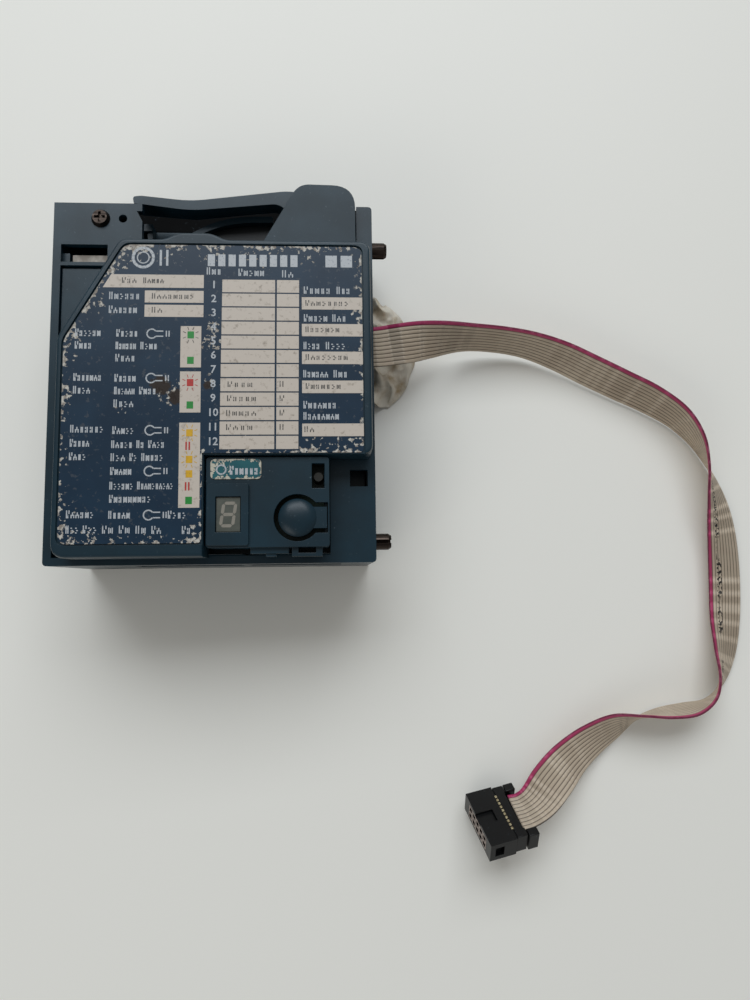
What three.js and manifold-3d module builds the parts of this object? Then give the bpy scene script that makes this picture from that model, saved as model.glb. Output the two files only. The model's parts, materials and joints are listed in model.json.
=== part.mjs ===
// Coin acceptor with a ribbon cable, in millimetres.
// Origin: centre of the rear face. +X towards the mounting pins, +Y towards the coin mouth,
// +Z out of the label face. The acceptor lies on its rear cover.
import * as THREE from 'three';
import { mergeVertices } from 'three/addons/utils/BufferGeometryUtils.js';
import Module from 'manifold-3d';

const wasm = await Module();
wasm.setup();

// ---- Driving dimensions -------------------------------------------------------------------

const BODY_W = 88.9; // 3.5 in
const BODY_H = 101.6; // 4 in
const BODY_D = 40; // rear face to front frame face
const WALL = 2.2; // side walls of the main body
const GAP = 0.3; // clearance between neighbouring pieces
const CORNER_R = 1.2;

const REAR_T = 2.5; // rear cover
const WEB_Z = 20; // rear face of the coin path's rear wall
const WEB_T = 2.4;
const COIN_GAP = 5; // thickness of the coin path
const DECK_T = 2.8;
const PLATE_T = 2.2; // frame plates that lie in the front frame face

const COVER_D = 9.7; // front cover's height above the frame face
const COVER_T = 1.8;
const COVER_MARGIN = 5.25; // body's left edge to the cover's left edge
const COVER_TOP = 14.8; // body's top edge down to the cover's top edge
const COVER_EDGE = 1.0; // chamfer round the cover's front
const RIM_LEFT = 1.9; // cover's edges to the label
const RIM_TOP = 1.8;
const RIM_RIGHT = 2.5;
const RIM_BOTTOM = 3.6;
const RIM_NOTCH = 0.5;
const RECESS_D = 0.6;
const LABEL_T = 0.3;

const PANEL_W = 32.2; // control panel
const PANEL_H = 23.8;
const PANEL_D = 7.7;
const PANEL_T = 1.6;
const BUTTON_R = 5.0;
const BUTTON_GAP = 1.2;
const TONGUE_W = 5.6;

const MOUTH_W = 32.4; // coin mouth
const MOUTH_LEFT = 24.2; // body's left edge to the mouth
const RIB_T = 1.5; // coin guide ribs

const HINGE_Y = 16.3; // body's top edge down to the deck hinge pin
const HINGE_Z = 35.4;
const HINGE_PIN_R = 1.0;
const KNUCKLE_R = 2.1;

const MOUNT_SPACING = 88.9; // 3.5 in between the mounting pins
const MOUNT_PIN_R = 2.38; // 3/16 in
const MOUNT_PIN_Z = 25;
const MOUNT_PIN_OUT = 5.2;
const MOUNT_PIN_IN = 7.6;
const MOUNT_BOSS_R = 4.2;

const SCREW_INSET = 5.8; // rear screws, from the body's edges
const SCREW_R = 1.25;
const SCREW_HEAD_R = 2.6;
const BOSS_R = 3.4;

const GATE_W = 24;
const GATE_INSET = 22.45; // body's right edge to the gate's middle
const GATE_RISE = 20.8; // body's bottom edge to the gate's pivot
const GATE_Z = 16;
const GATE_ARM = 8; // pivot to the plunger's axis
const BOARD_T = 1.6;

const RIBBON_W = 12.7; // ten conductors at 1.27 mm
const RIBBON_T = 0.9;
const CABLE_Y = 17; // middle of the cable's way out

// ---- Values worked out from them ----------------------------------------------------------

const RIGHT = BODY_W / 2;
const LEFT = -RIGHT;
const TOP = BODY_H / 2;
const BOTTOM = -TOP;
const GATE_PIVOT = [RIGHT - GATE_INSET, BOTTOM + GATE_RISE, GATE_Z];
const COIN_Z0 = WEB_Z + WEB_T;
const COIN_Z1 = COIN_Z0 + COIN_GAP;
const DECK_Z0 = COIN_Z1 + GAP;
const DECK_Z1 = DECK_Z0 + DECK_T;
const PLATE_Z = BODY_D - PLATE_T;
const COVER_Z0 = BODY_D + GAP;
const COVER_Z1 = COVER_Z0 + COVER_D;
const COVER_L = LEFT + COVER_MARGIN;
const COVER_R = RIGHT - 1.05;
const COVER_Y1 = TOP - COVER_TOP;
const COVER_Y0 = BOTTOM + 1.6;
const PANEL_X0 = COVER_R - 11.6 - PANEL_W;
const PANEL_X1 = PANEL_X0 + PANEL_W;
const PANEL_Y0 = BOTTOM + 4;
const PANEL_Y1 = PANEL_Y0 + PANEL_H;
const PANEL_Z1 = COVER_Z0 + PANEL_D;
const MOUTH_X0 = LEFT + MOUTH_LEFT;
const MOUTH_X1 = MOUTH_X0 + MOUTH_W;
const PIN_Y = TOP - HINGE_Y;
const BUTTON = [PANEL_X1 - 8.4, PANEL_Y0 + 7.65];
const DISPLAY = [PANEL_X0 + 5.9, PANEL_Y0 + 8.6];
const LAMP = [PANEL_X1 - 2.9, PANEL_Y0 + 18.7];
const ACCEPT_X0 = GATE_PIVOT[0] - GATE_W / 2 - 1;
const ACCEPT_X1 = GATE_PIVOT[0] + GATE_W / 2 + 1;
const RUNWAY_END = ACCEPT_X0 - 3;
const MAIN_BOARD_Z = PLATE_Z + 0.5;
const BOARD_TOP_Z = MAIN_BOARD_Z + BOARD_T;

// ---- Materials ----------------------------------------------------------------------------

const finish = (color, roughness, metalness = 0) => ({ color, roughness, metalness });
const TEAL = finish('#42535d', 0.55);
const TEAL_DARK = finish('#2c3c46', 0.6);
const STEEL = finish('#8d8f92', 0.35, 0.9);
const DARK_STEEL = finish('#3b3836', 0.4, 0.85);
const BLACK = finish('#18191b', 0.5);
const BOARD = finish('#1f5a3a', 0.6);
const COPPER = finish('#a9622f', 0.4, 0.8);
const GREY_PVC = finish('#8c8478', 0.6);
const PAPER = finish('#cfc3a4', 0.85);

// ---- Solids -------------------------------------------------------------------------------

function toSolid(geometry) {
  const bare = geometry.clone();
  bare.deleteAttribute('normal');
  bare.deleteAttribute('uv');
  const merged = mergeVertices(bare, 1e-4);
  return new wasm.Manifold(new wasm.Mesh({
    numProp: 3,
    vertProperties: new Float32Array(merged.attributes.position.array),
    triVerts: new Uint32Array(merged.index.array),
  }));
}

function join(...solids) {
  return solids.reduce((sum, next) => sum.add(next));
}

function cut(solid, ...tools) {
  return tools.reduce((rest, tool) => rest.subtract(tool), solid);
}

function block(x0, x1, y0, y1, z0, z1) {
  const box = new THREE.BoxGeometry(x1 - x0, y1 - y0, z1 - z0);
  box.translate((x0 + x1) / 2, (y0 + y1) / 2, (z0 + z1) / 2);
  return toSolid(box);
}

// A round bar from one end to the other along an axis; centre holds the two other coordinates.
function rod(axis, centre, radius, from, to, sides = 24, endRadius = radius) {
  const bar = new THREE.CylinderGeometry(endRadius, radius, to - from, sides);
  bar.translate(0, (from + to) / 2, 0);
  if (axis === 'x') bar.rotateZ(-Math.PI / 2);
  if (axis === 'z') bar.rotateX(Math.PI / 2);
  const [a, b] = centre;
  const place = { x: [0, a, b], y: [a, 0, b], z: [a, b, 0] }[axis];
  bar.translate(...place);
  return toSolid(bar);
}

function prism(shape, z0, z1, curveSegments = 6) {
  const body = new THREE.ExtrudeGeometry(shape, { depth: z1 - z0, bevelEnabled: false, curveSegments });
  body.translate(0, 0, z0);
  return toSolid(body);
}

function polygon(points) {
  return new THREE.Shape(points.map(([x, y]) => new THREE.Vector2(x, y)));
}

// A polygon whose corners are rounded; a point may carry its own radius.
function rounded(points, radius) {
  const shape = new THREE.Shape();
  points.forEach(([x, y, own], i) => {
    const here = new THREE.Vector2(x, y);
    const before = new THREE.Vector2(...points.at(i - 1)).sub(here);
    const after = new THREE.Vector2(...points[(i + 1) % points.length]).sub(here);
    const reach = Math.min(own ?? radius, before.length() / 2.1, after.length() / 2.1);
    const enter = here.clone().addScaledVector(before.normalize(), reach);
    const leave = here.clone().addScaledVector(after.normalize(), reach);
    if (i === 0) shape.moveTo(enter.x, enter.y);
    else shape.lineTo(enter.x, enter.y);
    if (reach > 0.01) shape.quadraticCurveTo(x, y, leave.x, leave.y);
  });
  shape.closePath();
  return shape;
}

// The same polygon with every edge moved inwards; the points run anticlockwise.
function inset(points, distance) {
  return points.map(([x, y, own], i) => {
    const here = new THREE.Vector2(x, y);
    const a = here.clone().sub(new THREE.Vector2(...points.at(i - 1))).normalize();
    const b = new THREE.Vector2(...points[(i + 1) % points.length]).sub(here).normalize();
    const normal = new THREE.Vector2(-a.y - b.y, a.x + b.x).normalize();
    const slide = distance / Math.max(0.3, normal.dot(new THREE.Vector2(-a.y, a.x)));
    return [x + normal.x * slide, y + normal.y * slide, own];
  });
}

function rectangle(x0, x1, y0, y1) {
  return [[x0, y0], [x1, y0], [x1, y1], [x0, y1]];
}

const root = new THREE.Group();

function add(name, solid, look) {
  const mesh = solid.getMesh();
  const geometry = new THREE.BufferGeometry();
  geometry.setAttribute('position', new THREE.BufferAttribute(mesh.vertProperties, 3));
  geometry.setIndex(new THREE.BufferAttribute(mesh.triVerts, 1));
  geometry.computeVertexNormals();
  const piece = new THREE.Mesh(geometry, new THREE.MeshStandardMaterial(look));
  piece.name = name;
  root.add(piece);
}

// ---- Casing -------------------------------------------------------------------------------

const SCREWS = [[-1, -1], [1, -1], [1, 1], [-1, 1]].map(([sx, sy]) => [
  sx * (RIGHT - SCREW_INSET),
  sy * (TOP - SCREW_INSET),
]);
const PINS = [MOUNT_SPACING / 2, -MOUNT_SPACING / 2];
const PLATE_SCREW = [LEFT + 12.85, TOP - 4.6];
const PIN_IN_X = RIGHT - MOUNT_PIN_IN;

function topLeftPlate() {
  const plate = polygon([
    [LEFT, PIN_Y - 2.0],
    [MOUTH_X0 + 0.1, PIN_Y - 2.0],
    [MOUTH_X0 + 0.1, TOP - 5.2],
    [MOUTH_X0 - 2.6, TOP],
    [LEFT, TOP],
  ]);
  const hingeSlot = block(LEFT + 1.65, LEFT + 14.95, PIN_Y - 1.0, PIN_Y + 4.1, PLATE_Z - 1, BODY_D + 1);
  const smallHole = rod('z', [PLATE_SCREW[0] + 6.1, PLATE_SCREW[1] + 0.1], 1.2, PLATE_Z - 1, BODY_D + 1, 16);
  return cut(prism(plate, PLATE_Z, BODY_D), hingeSlot, smallHole);
}

// A point on the runway's top line at x, raised by lift.
function onRunway(x, lift = 0) {
  const x0 = MOUTH_X0 - 0.5;
  return [x, 12.4 - (8 * (x - x0)) / (RUNWAY_END - x0) + lift];
}

// Ribs that guide a coin between the mouth, the runway and the two exits.
function coinGuides() {
  const z0 = COIN_Z0 - 0.5;
  const z1 = COIN_Z1 - GAP;
  const left = block(MOUTH_X0 - RIB_T, MOUTH_X0, 8, TOP, z0, z1);
  const right = block(MOUTH_X1, MOUTH_X1 + RIB_T, 27, TOP - 6, z0, z1);
  const runway = prism(polygon([
    onRunway(MOUTH_X0 - 0.5, -2.4), onRunway(RUNWAY_END, -2.4), onRunway(RUNWAY_END), onRunway(MOUTH_X0 - 0.5),
  ]), z0, z1);
  const rejectWall = block(MOUTH_X0 - 4, MOUTH_X0 - 2.5, BOTTOM + 1, 9, z0, z1);
  const rejectTop = block(MOUTH_X0 - 4, MOUTH_X0, 8, 9.5, z0, z1);
  const divider = block(ACCEPT_X0 - 2, ACCEPT_X0 - 0.5, BOTTOM + 1, -26, z0, z1);
  const outer = block(ACCEPT_X1, ACCEPT_X1 + RIB_T, -38, 24, z0, z1);
  return [left, right, runway, rejectWall, rejectTop, divider, outer];
}

function mountBoss(y) {
  return rod('x', [y, MOUNT_PIN_Z], MOUNT_BOSS_R, PIN_IN_X - 0.8, RIGHT - 0.5, 28);
}

function gateLug(x) {
  const [, y, z] = GATE_PIVOT;
  return block(x, x + 1.6, y - 2.6, y + 2.6, z - 2.4, WEB_Z + 0.5);
}

function mainBody() {
  const z0 = REAR_T + GAP;
  const outline = rounded(rectangle(LEFT, RIGHT, BOTTOM, TOP), CORNER_R);
  const shell = cut(
    prism(outline, z0, BODY_D),
    block(LEFT + WALL, RIGHT - WALL, BOTTOM + WALL, TOP - WALL, z0 - 1, WEB_Z),
    block(LEFT + WALL, RIGHT - WALL, BOTTOM + WALL, TOP - WALL, COIN_Z0, BODY_D + 1),
    block(MOUTH_X0, RIGHT - 4.4, TOP - WALL - 1, TOP + 1, COIN_Z0, BODY_D + 1),
    block(MOUTH_X0 - 5, MOUTH_X0 + 1, TOP - WALL - 1, TOP + 1, LEVER_Z0 - SKIRT_D - 0.4, PLATE_Z),
    block(MOUTH_X0 - 2.5, ACCEPT_X0 - 2, BOTTOM - 1, BOTTOM + WALL + 1, COIN_Z0, DECK_Z1),
    block(ACCEPT_X0, ACCEPT_X1, BOTTOM - 1, BOTTOM + WALL + 1, COIN_Z0, DECK_Z1),
  );
  const [gx, gy, gz] = GATE_PIVOT;
  const added = [
    topLeftPlate(),
    prism(rounded(rectangle(RIGHT - 4.4, RIGHT, COVER_Y1 + 0.2, TOP), CORNER_R), PLATE_Z, BODY_D),
    block(PANEL_X1 + 0.2, RIGHT - 0.5, BOTTOM + 0.5, PANEL_Y1 + 0.8, PLATE_Z, BODY_D),
    ...coinGuides(),
    ...PINS.map(mountBoss),
    ...SCREWS.map((at) => rod('z', at, BOSS_R, z0, WEB_Z + 0.5)),
    rod('z', PLATE_SCREW, BOSS_R, COIN_Z0 - 0.5, PLATE_Z + 0.5),
    gateLug(gx - GATE_W / 2 - 2.4),
    gateLug(gx + GATE_W / 2 + 0.8),
    hingeLug(LEFT + WALL - 0.5),
    hingeLug(RIGHT - WALL - 1.9),
  ];
  const holes = [
    ...PINS.map((y) => rod('x', [y, MOUNT_PIN_Z], MOUNT_PIN_R + 0.1, PIN_IN_X - 0.2, RIGHT + 1, 28)),
    ...SCREWS.map((at) => rod('z', at, SCREW_R + GAP, z0 - 1, 15, 16)),
    rod('z', PLATE_SCREW, SCREW_R + GAP, 27, BODY_D + 1, 16),
    rod('x', [gy, gz], 1.3, gx - GATE_W / 2 - 1.9, gx + GATE_W / 2 + 1.9, 16),
    rod('x', [PIN_Y, HINGE_Z], HINGE_PIN_R + 0.2, LEFT + WALL, RIGHT - WALL, 16),
    block(gx - GATE_W / 2 - 0.6, gx + GATE_W / 2 + 0.6, gy + 14.4, gy + 21.5, WEB_Z - 1, COIN_Z0 + 1),
    block(RIGHT - 5, RIGHT + 1, CABLE_Y - 7.1, CABLE_Y + 7.1, 14.6, 17.4),
    block(RIGHT - 7, RIGHT - 2.1, PANEL_Y1 - 7, PANEL_Y1 - 2.4, PLATE_Z - 1, BODY_D + 1),
    rod('z', EXIT_SENSOR, 1.2, WEB_Z - 1, COIN_Z0 + 1, 12),
  ];
  return cut(join(shell, ...added), ...holes);
}

// Black lip that carries a coin over the top wall, clipped on the wall's outer face.
function mouthLip() {
  const x0 = MOUTH_X0 - 7.5;
  const x1 = MOUTH_X0 + 61.5;
  return join(
    prism(rounded(rectangle(x0, x1, TOP + GAP, TOP + 8), 1), COIN_Z0 - 1.6, COIN_Z0),
    block(x0 + 2, x1 - 2, TOP + GAP, TOP + 1.8, WEB_Z - 7, COIN_Z0 - 1),
  );
}

function hingeLug(x) {
  return block(x, x + 2.4, PIN_Y - 1.9, PIN_Y + 2.2, DECK_Z1 + 1.4, PLATE_Z + 0.4);
}

function rearCover() {
  const plate = prism(rounded(rectangle(LEFT, RIGHT, BOTTOM, TOP), CORNER_R), 0, REAR_T);
  const holes = SCREWS.flatMap((at) => [
    rod('z', at, SCREW_R + GAP, -1, REAR_T + 1, 16),
    rod('z', at, SCREW_HEAD_R + GAP + 0.2, -1, 1.5, 20),
  ]);
  const lip = [
    block(LEFT + 12, RIGHT - 12, TOP - WALL - 1.8, TOP - WALL - GAP, REAR_T - 0.5, REAR_T + 1.5),
    block(LEFT + 12, RIGHT - 12, BOTTOM + WALL + GAP, BOTTOM + WALL + 1.8, REAR_T - 0.5, REAR_T + 1.5),
  ];
  return cut(join(plate, ...lip), ...holes);
}

// Anticlockwise outline of the front cover, with the cut-out for the panel and its corner.
function coverOutline() {
  const bumpX = COVER_L + 35;
  return [
    [COVER_L, COVER_Y0, 3],
    [PANEL_X0 - GAP, COVER_Y0, 0],
    [PANEL_X0 - GAP, PANEL_Y1 + GAP, 0],
    [COVER_R, PANEL_Y1 + GAP, 1.5],
    [COVER_R, COVER_Y1, 2],
    [bumpX + 8.5, COVER_Y1, 2],
    [bumpX + 5, COVER_Y1 + 1.9, 2],
    [bumpX - 4, COVER_Y1 + 1.9, 2],
    [bumpX - 7.5, COVER_Y1, 2],
    [COVER_L + 15.7, COVER_Y1, 1.5],
    [COVER_L, COVER_Y1 - 27.2, 1.5],
  ];
}

// The label keeps its own margin from each side of the cover and runs out to the panel's notch.
function labelOutline(grow, notch) {
  const left = COVER_L + RIM_LEFT - grow;
  const right = COVER_R - RIM_RIGHT + grow;
  const top = COVER_Y1 - RIM_TOP + grow;
  const bottom = COVER_Y0 + RIM_BOTTOM - grow;
  const notchX = PANEL_X0 - GAP - notch;
  const notchY = PANEL_Y1 + GAP + notch;
  const slope = 15.7 / 27.2;
  const lean = COVER_L + 2.4 - grow * 1.15;
  return [
    [left, bottom, 2.5],
    [notchX, bottom, notch > 0 ? 1.2 : 0],
    [notchX, notchY, 0],
    [right, notchY, notch > 0 ? 1.2 : 0],
    [right, top, 2.5],
    [lean + (top - COVER_Y1 + 27.2) * slope, top, 2],
    [left, COVER_Y1 - 27.2 + (left - lean) / slope, 1.5],
  ];
}

function frontCover() {
  const outline = coverOutline();
  const outer = new THREE.ExtrudeGeometry(rounded(inset(outline, COVER_EDGE), 1.5), {
    depth: COVER_D,
    bevelSize: COVER_EDGE,
    bevelThickness: COVER_EDGE,
    bevelSegments: 2,
    curveSegments: 5,
  });
  outer.translate(0, 0, COVER_Z0 - COVER_EDGE);
  const cavity = prism(rounded(inset(outline, COVER_T), 1.2), COVER_Z0 - 2, COVER_Z1 - COVER_T - 0.5, 4);
  const recess = prism(rounded(labelOutline(0.4, -2), 1), COVER_Z1 - RECESS_D, COVER_Z1 + 1, 5);
  const below = block(LEFT - 5, RIGHT + 5, BOTTOM - 5, TOP + 5, COVER_Z0 - 9, COVER_Z0);
  const posts = [
    [COVER_L + 20, COVER_Y1 - 8],
    [COVER_R - 6, COVER_Y1 - 8],
    [COVER_L + 22, COVER_Y0 + 30],
  ].map((at) => rod('z', at, 2, COVER_Z0 + 0.2, COVER_Z1 - COVER_T, 12));
  return join(cut(toSolid(outer), cavity, recess, below), ...posts);
}

function frontLabel() {
  const floor = COVER_Z1 - RECESS_D;
  return prism(rounded(labelOutline(0, RIM_NOTCH), 1), floor + 0.02, floor + LABEL_T, 5);
}

// ---- Control panel ------------------------------------------------------------------------

function buttonSpace(radius, halfWidth, end, z0, z1) {
  const [x, y] = BUTTON;
  return join(rod('z', BUTTON, radius, z0, z1, 36), block(x, end, y - halfWidth, y + halfWidth, z0, z1));
}

function panelClips() {
  const y0 = COVER_Y0;
  const y1 = PANEL_Y0 + 0.5;
  const z1 = PANEL_Z1 - 1.2;
  return [
    block(PANEL_X0 + 11.5, PANEL_X0 + 21.5, y0 + 0.8, y1, COVER_Z0 + 3, z1),
    block(PANEL_X0 + 15.5, PANEL_X0 + 18.2, y0, y1, COVER_Z0 + 3, z1 - 0.5),
    block(PANEL_X0 + 22.3, PANEL_X0 + 24, y0, y1, COVER_Z0, z1),
    block(PANEL_X0 + 28.6, PANEL_X0 + 30.3, y0, y1, COVER_Z0, z1),
    block(PANEL_X0 + 23, PANEL_X0 + 29.5, y0, y0 + 0.9, COVER_Z0 + 2, z1),
  ];
}

function controlPanel() {
  const outline = rounded(rectangle(PANEL_X0, PANEL_X1, PANEL_Y0, PANEL_Y1), 1);
  const top = PANEL_Z1 - PANEL_T;
  const [dx, dy] = DISPLAY;
  const shell = cut(
    prism(outline, COVER_Z0, PANEL_Z1),
    block(PANEL_X0 + 1.4, PANEL_X1 - 1.4, PANEL_Y0 + 1.4, PANEL_Y1 - 1.4, COVER_Z0 - 1, top),
  );
  const bezel = prism(rounded(rectangle(dx - 5.6, dx + 5.3, dy - 8.1, dy + 8.1), 0.8), top, PANEL_Z1 + 0.9);
  return cut(
    join(shell, bezel, ...panelClips()),
    block(dx - 3.25, dx + 3.25, dy - 4.65, dy + 4.65, top - 1, PANEL_Z1 + 2),
    block(LAMP[0] - 1.7, LAMP[0] + 1.7, LAMP[1] - 3.3, LAMP[1] + 3.3, top - 1, PANEL_Z1 + 1),
    buttonSpace(BUTTON_R + BUTTON_GAP, TONGUE_W / 2 + BUTTON_GAP, BUTTON[0] + 8, top - 1, PANEL_Z1 + 1),
  );
}

function pushButton() {
  const [x, y] = BUTTON;
  const top = PANEL_Z1 - PANEL_T;
  const dome = new THREE.LatheGeometry([
    new THREE.Vector2(0, -0.4),
    new THREE.Vector2(BUTTON_R - 0.4, -0.4),
    new THREE.Vector2(BUTTON_R, 0),
    new THREE.Vector2(BUTTON_R * 0.85, 0.75),
    new THREE.Vector2(BUTTON_R * 0.55, 1.25),
    new THREE.Vector2(0, 1.5),
  ], 32);
  dome.rotateX(Math.PI / 2);
  dome.translate(x, y, PANEL_Z1);
  const tongue = buttonSpace(BUTTON_R, TONGUE_W / 2, x + 7.7, top, PANEL_Z1);
  const stub = rod('z', BUTTON, 1.6, SWITCH_Z + 5.2, top + 0.2, 16);
  return join(tongue, toSolid(dome), stub);
}

const SWITCH_Z = BOARD_TOP_Z + 0.1;

function displayModule() {
  const [x, y] = DISPLAY;
  const top = PANEL_Z1 - PANEL_T;
  return join(
    block(x - 3.9, x + 3.9, y - 5.6, y + 5.6, BOARD_TOP_Z + 0.1, top - GAP),
    block(x - 3.05, x + 3.05, y - 4.45, y + 4.45, top - 1, PANEL_Z1 + 0.3),
  );
}

// ---- Boards and sensors -------------------------------------------------------------------

const EXIT_SENSOR = [GATE_PIVOT[0] + 9, BOTTOM + 8.5];
const COILS = { entry: [MOUTH_X0 + 14, PIN_Y - 11.5, 8.5], run: [MOUTH_X0 + 30, PIN_Y - 18, 6.2] };

function mainBoard() {
  const x0 = COVER_L + 19;
  return prism(polygon([
    [x0, PANEL_Y0 + 2], [PANEL_X1 - 0.5, PANEL_Y0 + 2], [PANEL_X1 - 0.5, PANEL_Y1 + 1.5],
    [COVER_R - 2, PANEL_Y1 + 1.5], [COVER_R - 2, COVER_Y1 - 5], [x0, COVER_Y1 - 5],
  ]), MAIN_BOARD_Z, BOARD_TOP_Z);
}

function coil([x, y, radius], z0, z1) {
  const pot = rod('z', [x, y], radius, z0, z1, 28);
  const groove = cut(
    rod('z', [x, y], radius * 0.72, z0 - 1, z0 + 2.4, 24),
    rod('z', [x, y], radius * 0.34, z0 - 2, z0 + 3, 24),
  );
  return cut(pot, groove);
}

function ribbonHeader() {
  const x1 = RIGHT - 6.85;
  const body = block(x1 - 10.1, x1, CABLE_Y - 7.4, CABLE_Y + 7.4, 11.9, 19.6);
  return cut(body, block(x1 - 3.6, x1 + 1, CABLE_Y - 6.6, CABLE_Y + 6.6, 15.1, 16.9));
}

// ---- Coin path moving parts ---------------------------------------------------------------

function flightDeck() {
  const x0 = LEFT + WALL + GAP;
  const x1 = RIGHT - WALL - GAP;
  const y1 = PIN_Y - 2.6;
  const plate = polygon([
    [x0, BOTTOM + 3], [ACCEPT_X1 - 0.5, BOTTOM + 3], [ACCEPT_X1 - 0.5, BOTTOM + 11.5],
    [x1, BOTTOM + 11.5], [x1, y1], [x0, y1],
  ]);
  const strip = block(x0, COVER_L - 0.45, BOTTOM + 3, y1, DECK_Z1 - 0.5, BODY_D - 0.9);
  const cornerPad = polygon([
    [x0, COVER_Y1 - 28.5], [COVER_L - 0.45, COVER_Y1 - 28.5], [COVER_L + 13.4, y1], [x0, y1],
  ]);
  const pad = prism(cornerPad, BODY_D - 3.4, BODY_D - 0.9);
  const wedge = prism(cornerPad, DECK_Z1 - 0.5, BODY_D - 3.3);
  const arms = [COVER_L + 15.2, RIGHT - 14].flatMap((x) => [
    block(x, x + 4.5, y1 - 3, PIN_Y, DECK_Z1 - 0.5, HINGE_Z + 0.6),
    rod('x', [PIN_Y, HINGE_Z], KNUCKLE_R, x, x + 4.5, 20),
  ]);
  const bore = rod('x', [PIN_Y, HINGE_Z], HINGE_PIN_R + GAP, LEFT, RIGHT, 16);
  const windows = block(EXIT_SENSOR[0] - 1, EXIT_SENSOR[0] + 1, EXIT_SENSOR[1] - 1, EXIT_SENSOR[1] + 1, 20, 40);
  return cut(join(prism(plate, DECK_Z0, DECK_Z1), strip, pad, wedge, ...arms), bore, windows);
}

const LEVER = [RIGHT - 11.45, TOP - 6.8];
const LEVER_Z0 = DECK_Z1 + 1.7;
const LEVER_Z1 = PLATE_Z - 0.4;
const SKIRT_D = 3.9;

function rejectLever() {
  const hub = rod('z', LEVER, 3.2, LEVER_Z0, LEVER_Z1, 24);
  const bar = rounded([
    [MOUTH_X0 - 3.1, TOP + 1.5, 0.3],
    [MOUTH_X0 + 13, TOP - 0.5, 4],
    [MOUTH_X0 + 38, TOP + 1.9, 2],
    [LEVER[0] - 2, LEVER[1] - 2.4, 1],
    [LEVER[0] + 2.6, LEVER[1] + 1.5, 1],
    [MOUTH_X0 + 46, TOP + 5.2, 3],
    [MOUTH_X0 + 40.7, TOP + 5.9, 4],
    [MOUTH_X0 + 13, TOP + 2.4, 4],
    [MOUTH_X0 - 1.2, TOP + 3.8, 0.8],
    [MOUTH_X0 - 3.4, TOP + 3.5, 0.8],
  ], 1);
  const skirt = polygon([
    [MOUTH_X0 - 2.6, TOP + 2.4], [MOUTH_X0 + 13, TOP + 1.2], [MOUTH_X0 + 37, TOP + 4],
    [MOUTH_X0 + 37, TOP + 4.9], [MOUTH_X0 + 13, TOP + 2.1], [MOUTH_X0 - 2.6, TOP + 3.3],
  ]);
  const bore = rod('z', LEVER, 1.5, LEVER_Z0 - 1, LEVER_Z1 + 1, 16);
  const made = join(hub, prism(bar, LEVER_Z0, LEVER_Z1, 5), prism(skirt, LEVER_Z0 - SKIRT_D, LEVER_Z0 + 0.5));
  return cut(made, bore);
}

// Front wall of the coin mouth with its arc-shaped edge, and the tongue over the lever's pivot.
function entryGuide() {
  const y0 = COVER_Y1 + 0.6;
  const z0 = DECK_Z0;
  const arcPoints = (drop) => new THREE.SplineCurve([
    new THREE.Vector2(MOUTH_X0 + 3.2, TOP - 13.6 - drop),
    new THREE.Vector2(MOUTH_X0 + 8, TOP - 7.6 - drop),
    new THREE.Vector2(MOUTH_X0 + 14.3, TOP - 3.4 - drop),
    new THREE.Vector2(MOUTH_X0 + 21, TOP - 0.5 - drop * 1.02),
    new THREE.Vector2(MOUTH_X0 + 28, TOP + 0.7 - drop),
    new THREE.Vector2(MOUTH_X0 + 36, TOP + 0.9 - drop),
  ]).getPoints(14).map((p) => [p.x, p.y]);
  const plate = polygon([
    ...arcPoints(0.1).reverse(), [MOUTH_X0 + 3.2, y0], [PIN_IN_X - 1.2, y0],
    [PIN_IN_X - 1.2, TOP - 3], [MOUTH_X0 + 44, TOP - 2], [MOUTH_X0 + 40, TOP + 0.8],
  ]);
  const arc = polygon([...arcPoints(0).reverse(), ...arcPoints(1.9)]);
  const tongue = rounded([
    [MOUTH_X0 + 33, y0, 0],
    [RIGHT - 4.8, y0, 0],
    [RIGHT - 4.8, TOP + 4.6, 6.5],
    [MOUTH_X0 + 44, TOP + 4.9, 3.2],
  ], 1);
  const leg = block(MOUTH_X0 + 36, LEVER[0] + 2.5, y0, y0 + 1.8, z0, COVER_Z0 + 1);
  const made = join(
    prism(plate, z0, z0 + 1.5),
    prism(arc, z0, LEVER_Z0 - 0.4),
    prism(tongue, COVER_Z0 + 0.2, COVER_Z0 + 2.8, 8),
    leg,
  );
  return cut(made, rod('z', LEVER, 1.5, z0 - 1, z0 + 2, 16));
}

function acceptGate() {
  const [x, y, z] = GATE_PIVOT;
  const half = GATE_W / 2;
  const plate = block(x - half, x + half, y, y + 17.4, z - 1, z + 1);
  const blade = block(x - half, x + half, y + 15.8, y + 17.4, z, COIN_Z1 - 0.5);
  const hub = rod('x', [y, z], 2.3, x - half, x + half, 20);
  const fork = cut(
    block(x - 2.4, x + 2.4, y - 1.2, y + 1.2, z - GATE_ARM - 2, z),
    block(x - 1.3, x + 1.3, y - 3, y + 3, z - GATE_ARM - 3, z - GATE_ARM + 2.2),
  );
  return cut(join(plate, blade, hub, fork), rod('x', [y, z], 1.3, x - 20, x + 20, 16));
}

function solenoidPlunger() {
  const [x, y, z] = GATE_PIVOT;
  const axis = [x, z - GATE_ARM];
  return join(
    rod('y', axis, 2.2, y + 2.2, y + 3.2, 20),
    rod('y', axis, 0.9, y - 4, y + 2.5, 12),
    rod('y', axis, 2.2, y - 3.2, y - 2.2, 20),
    rod('y', axis, 1.6, YOKE_Y0 + 3.1, y - 3, 16),
  );
}

const YOKE_Y1 = GATE_PIVOT[1] - 6.2;
const YOKE_Y0 = BOTTOM + WALL + 2.4;

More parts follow.
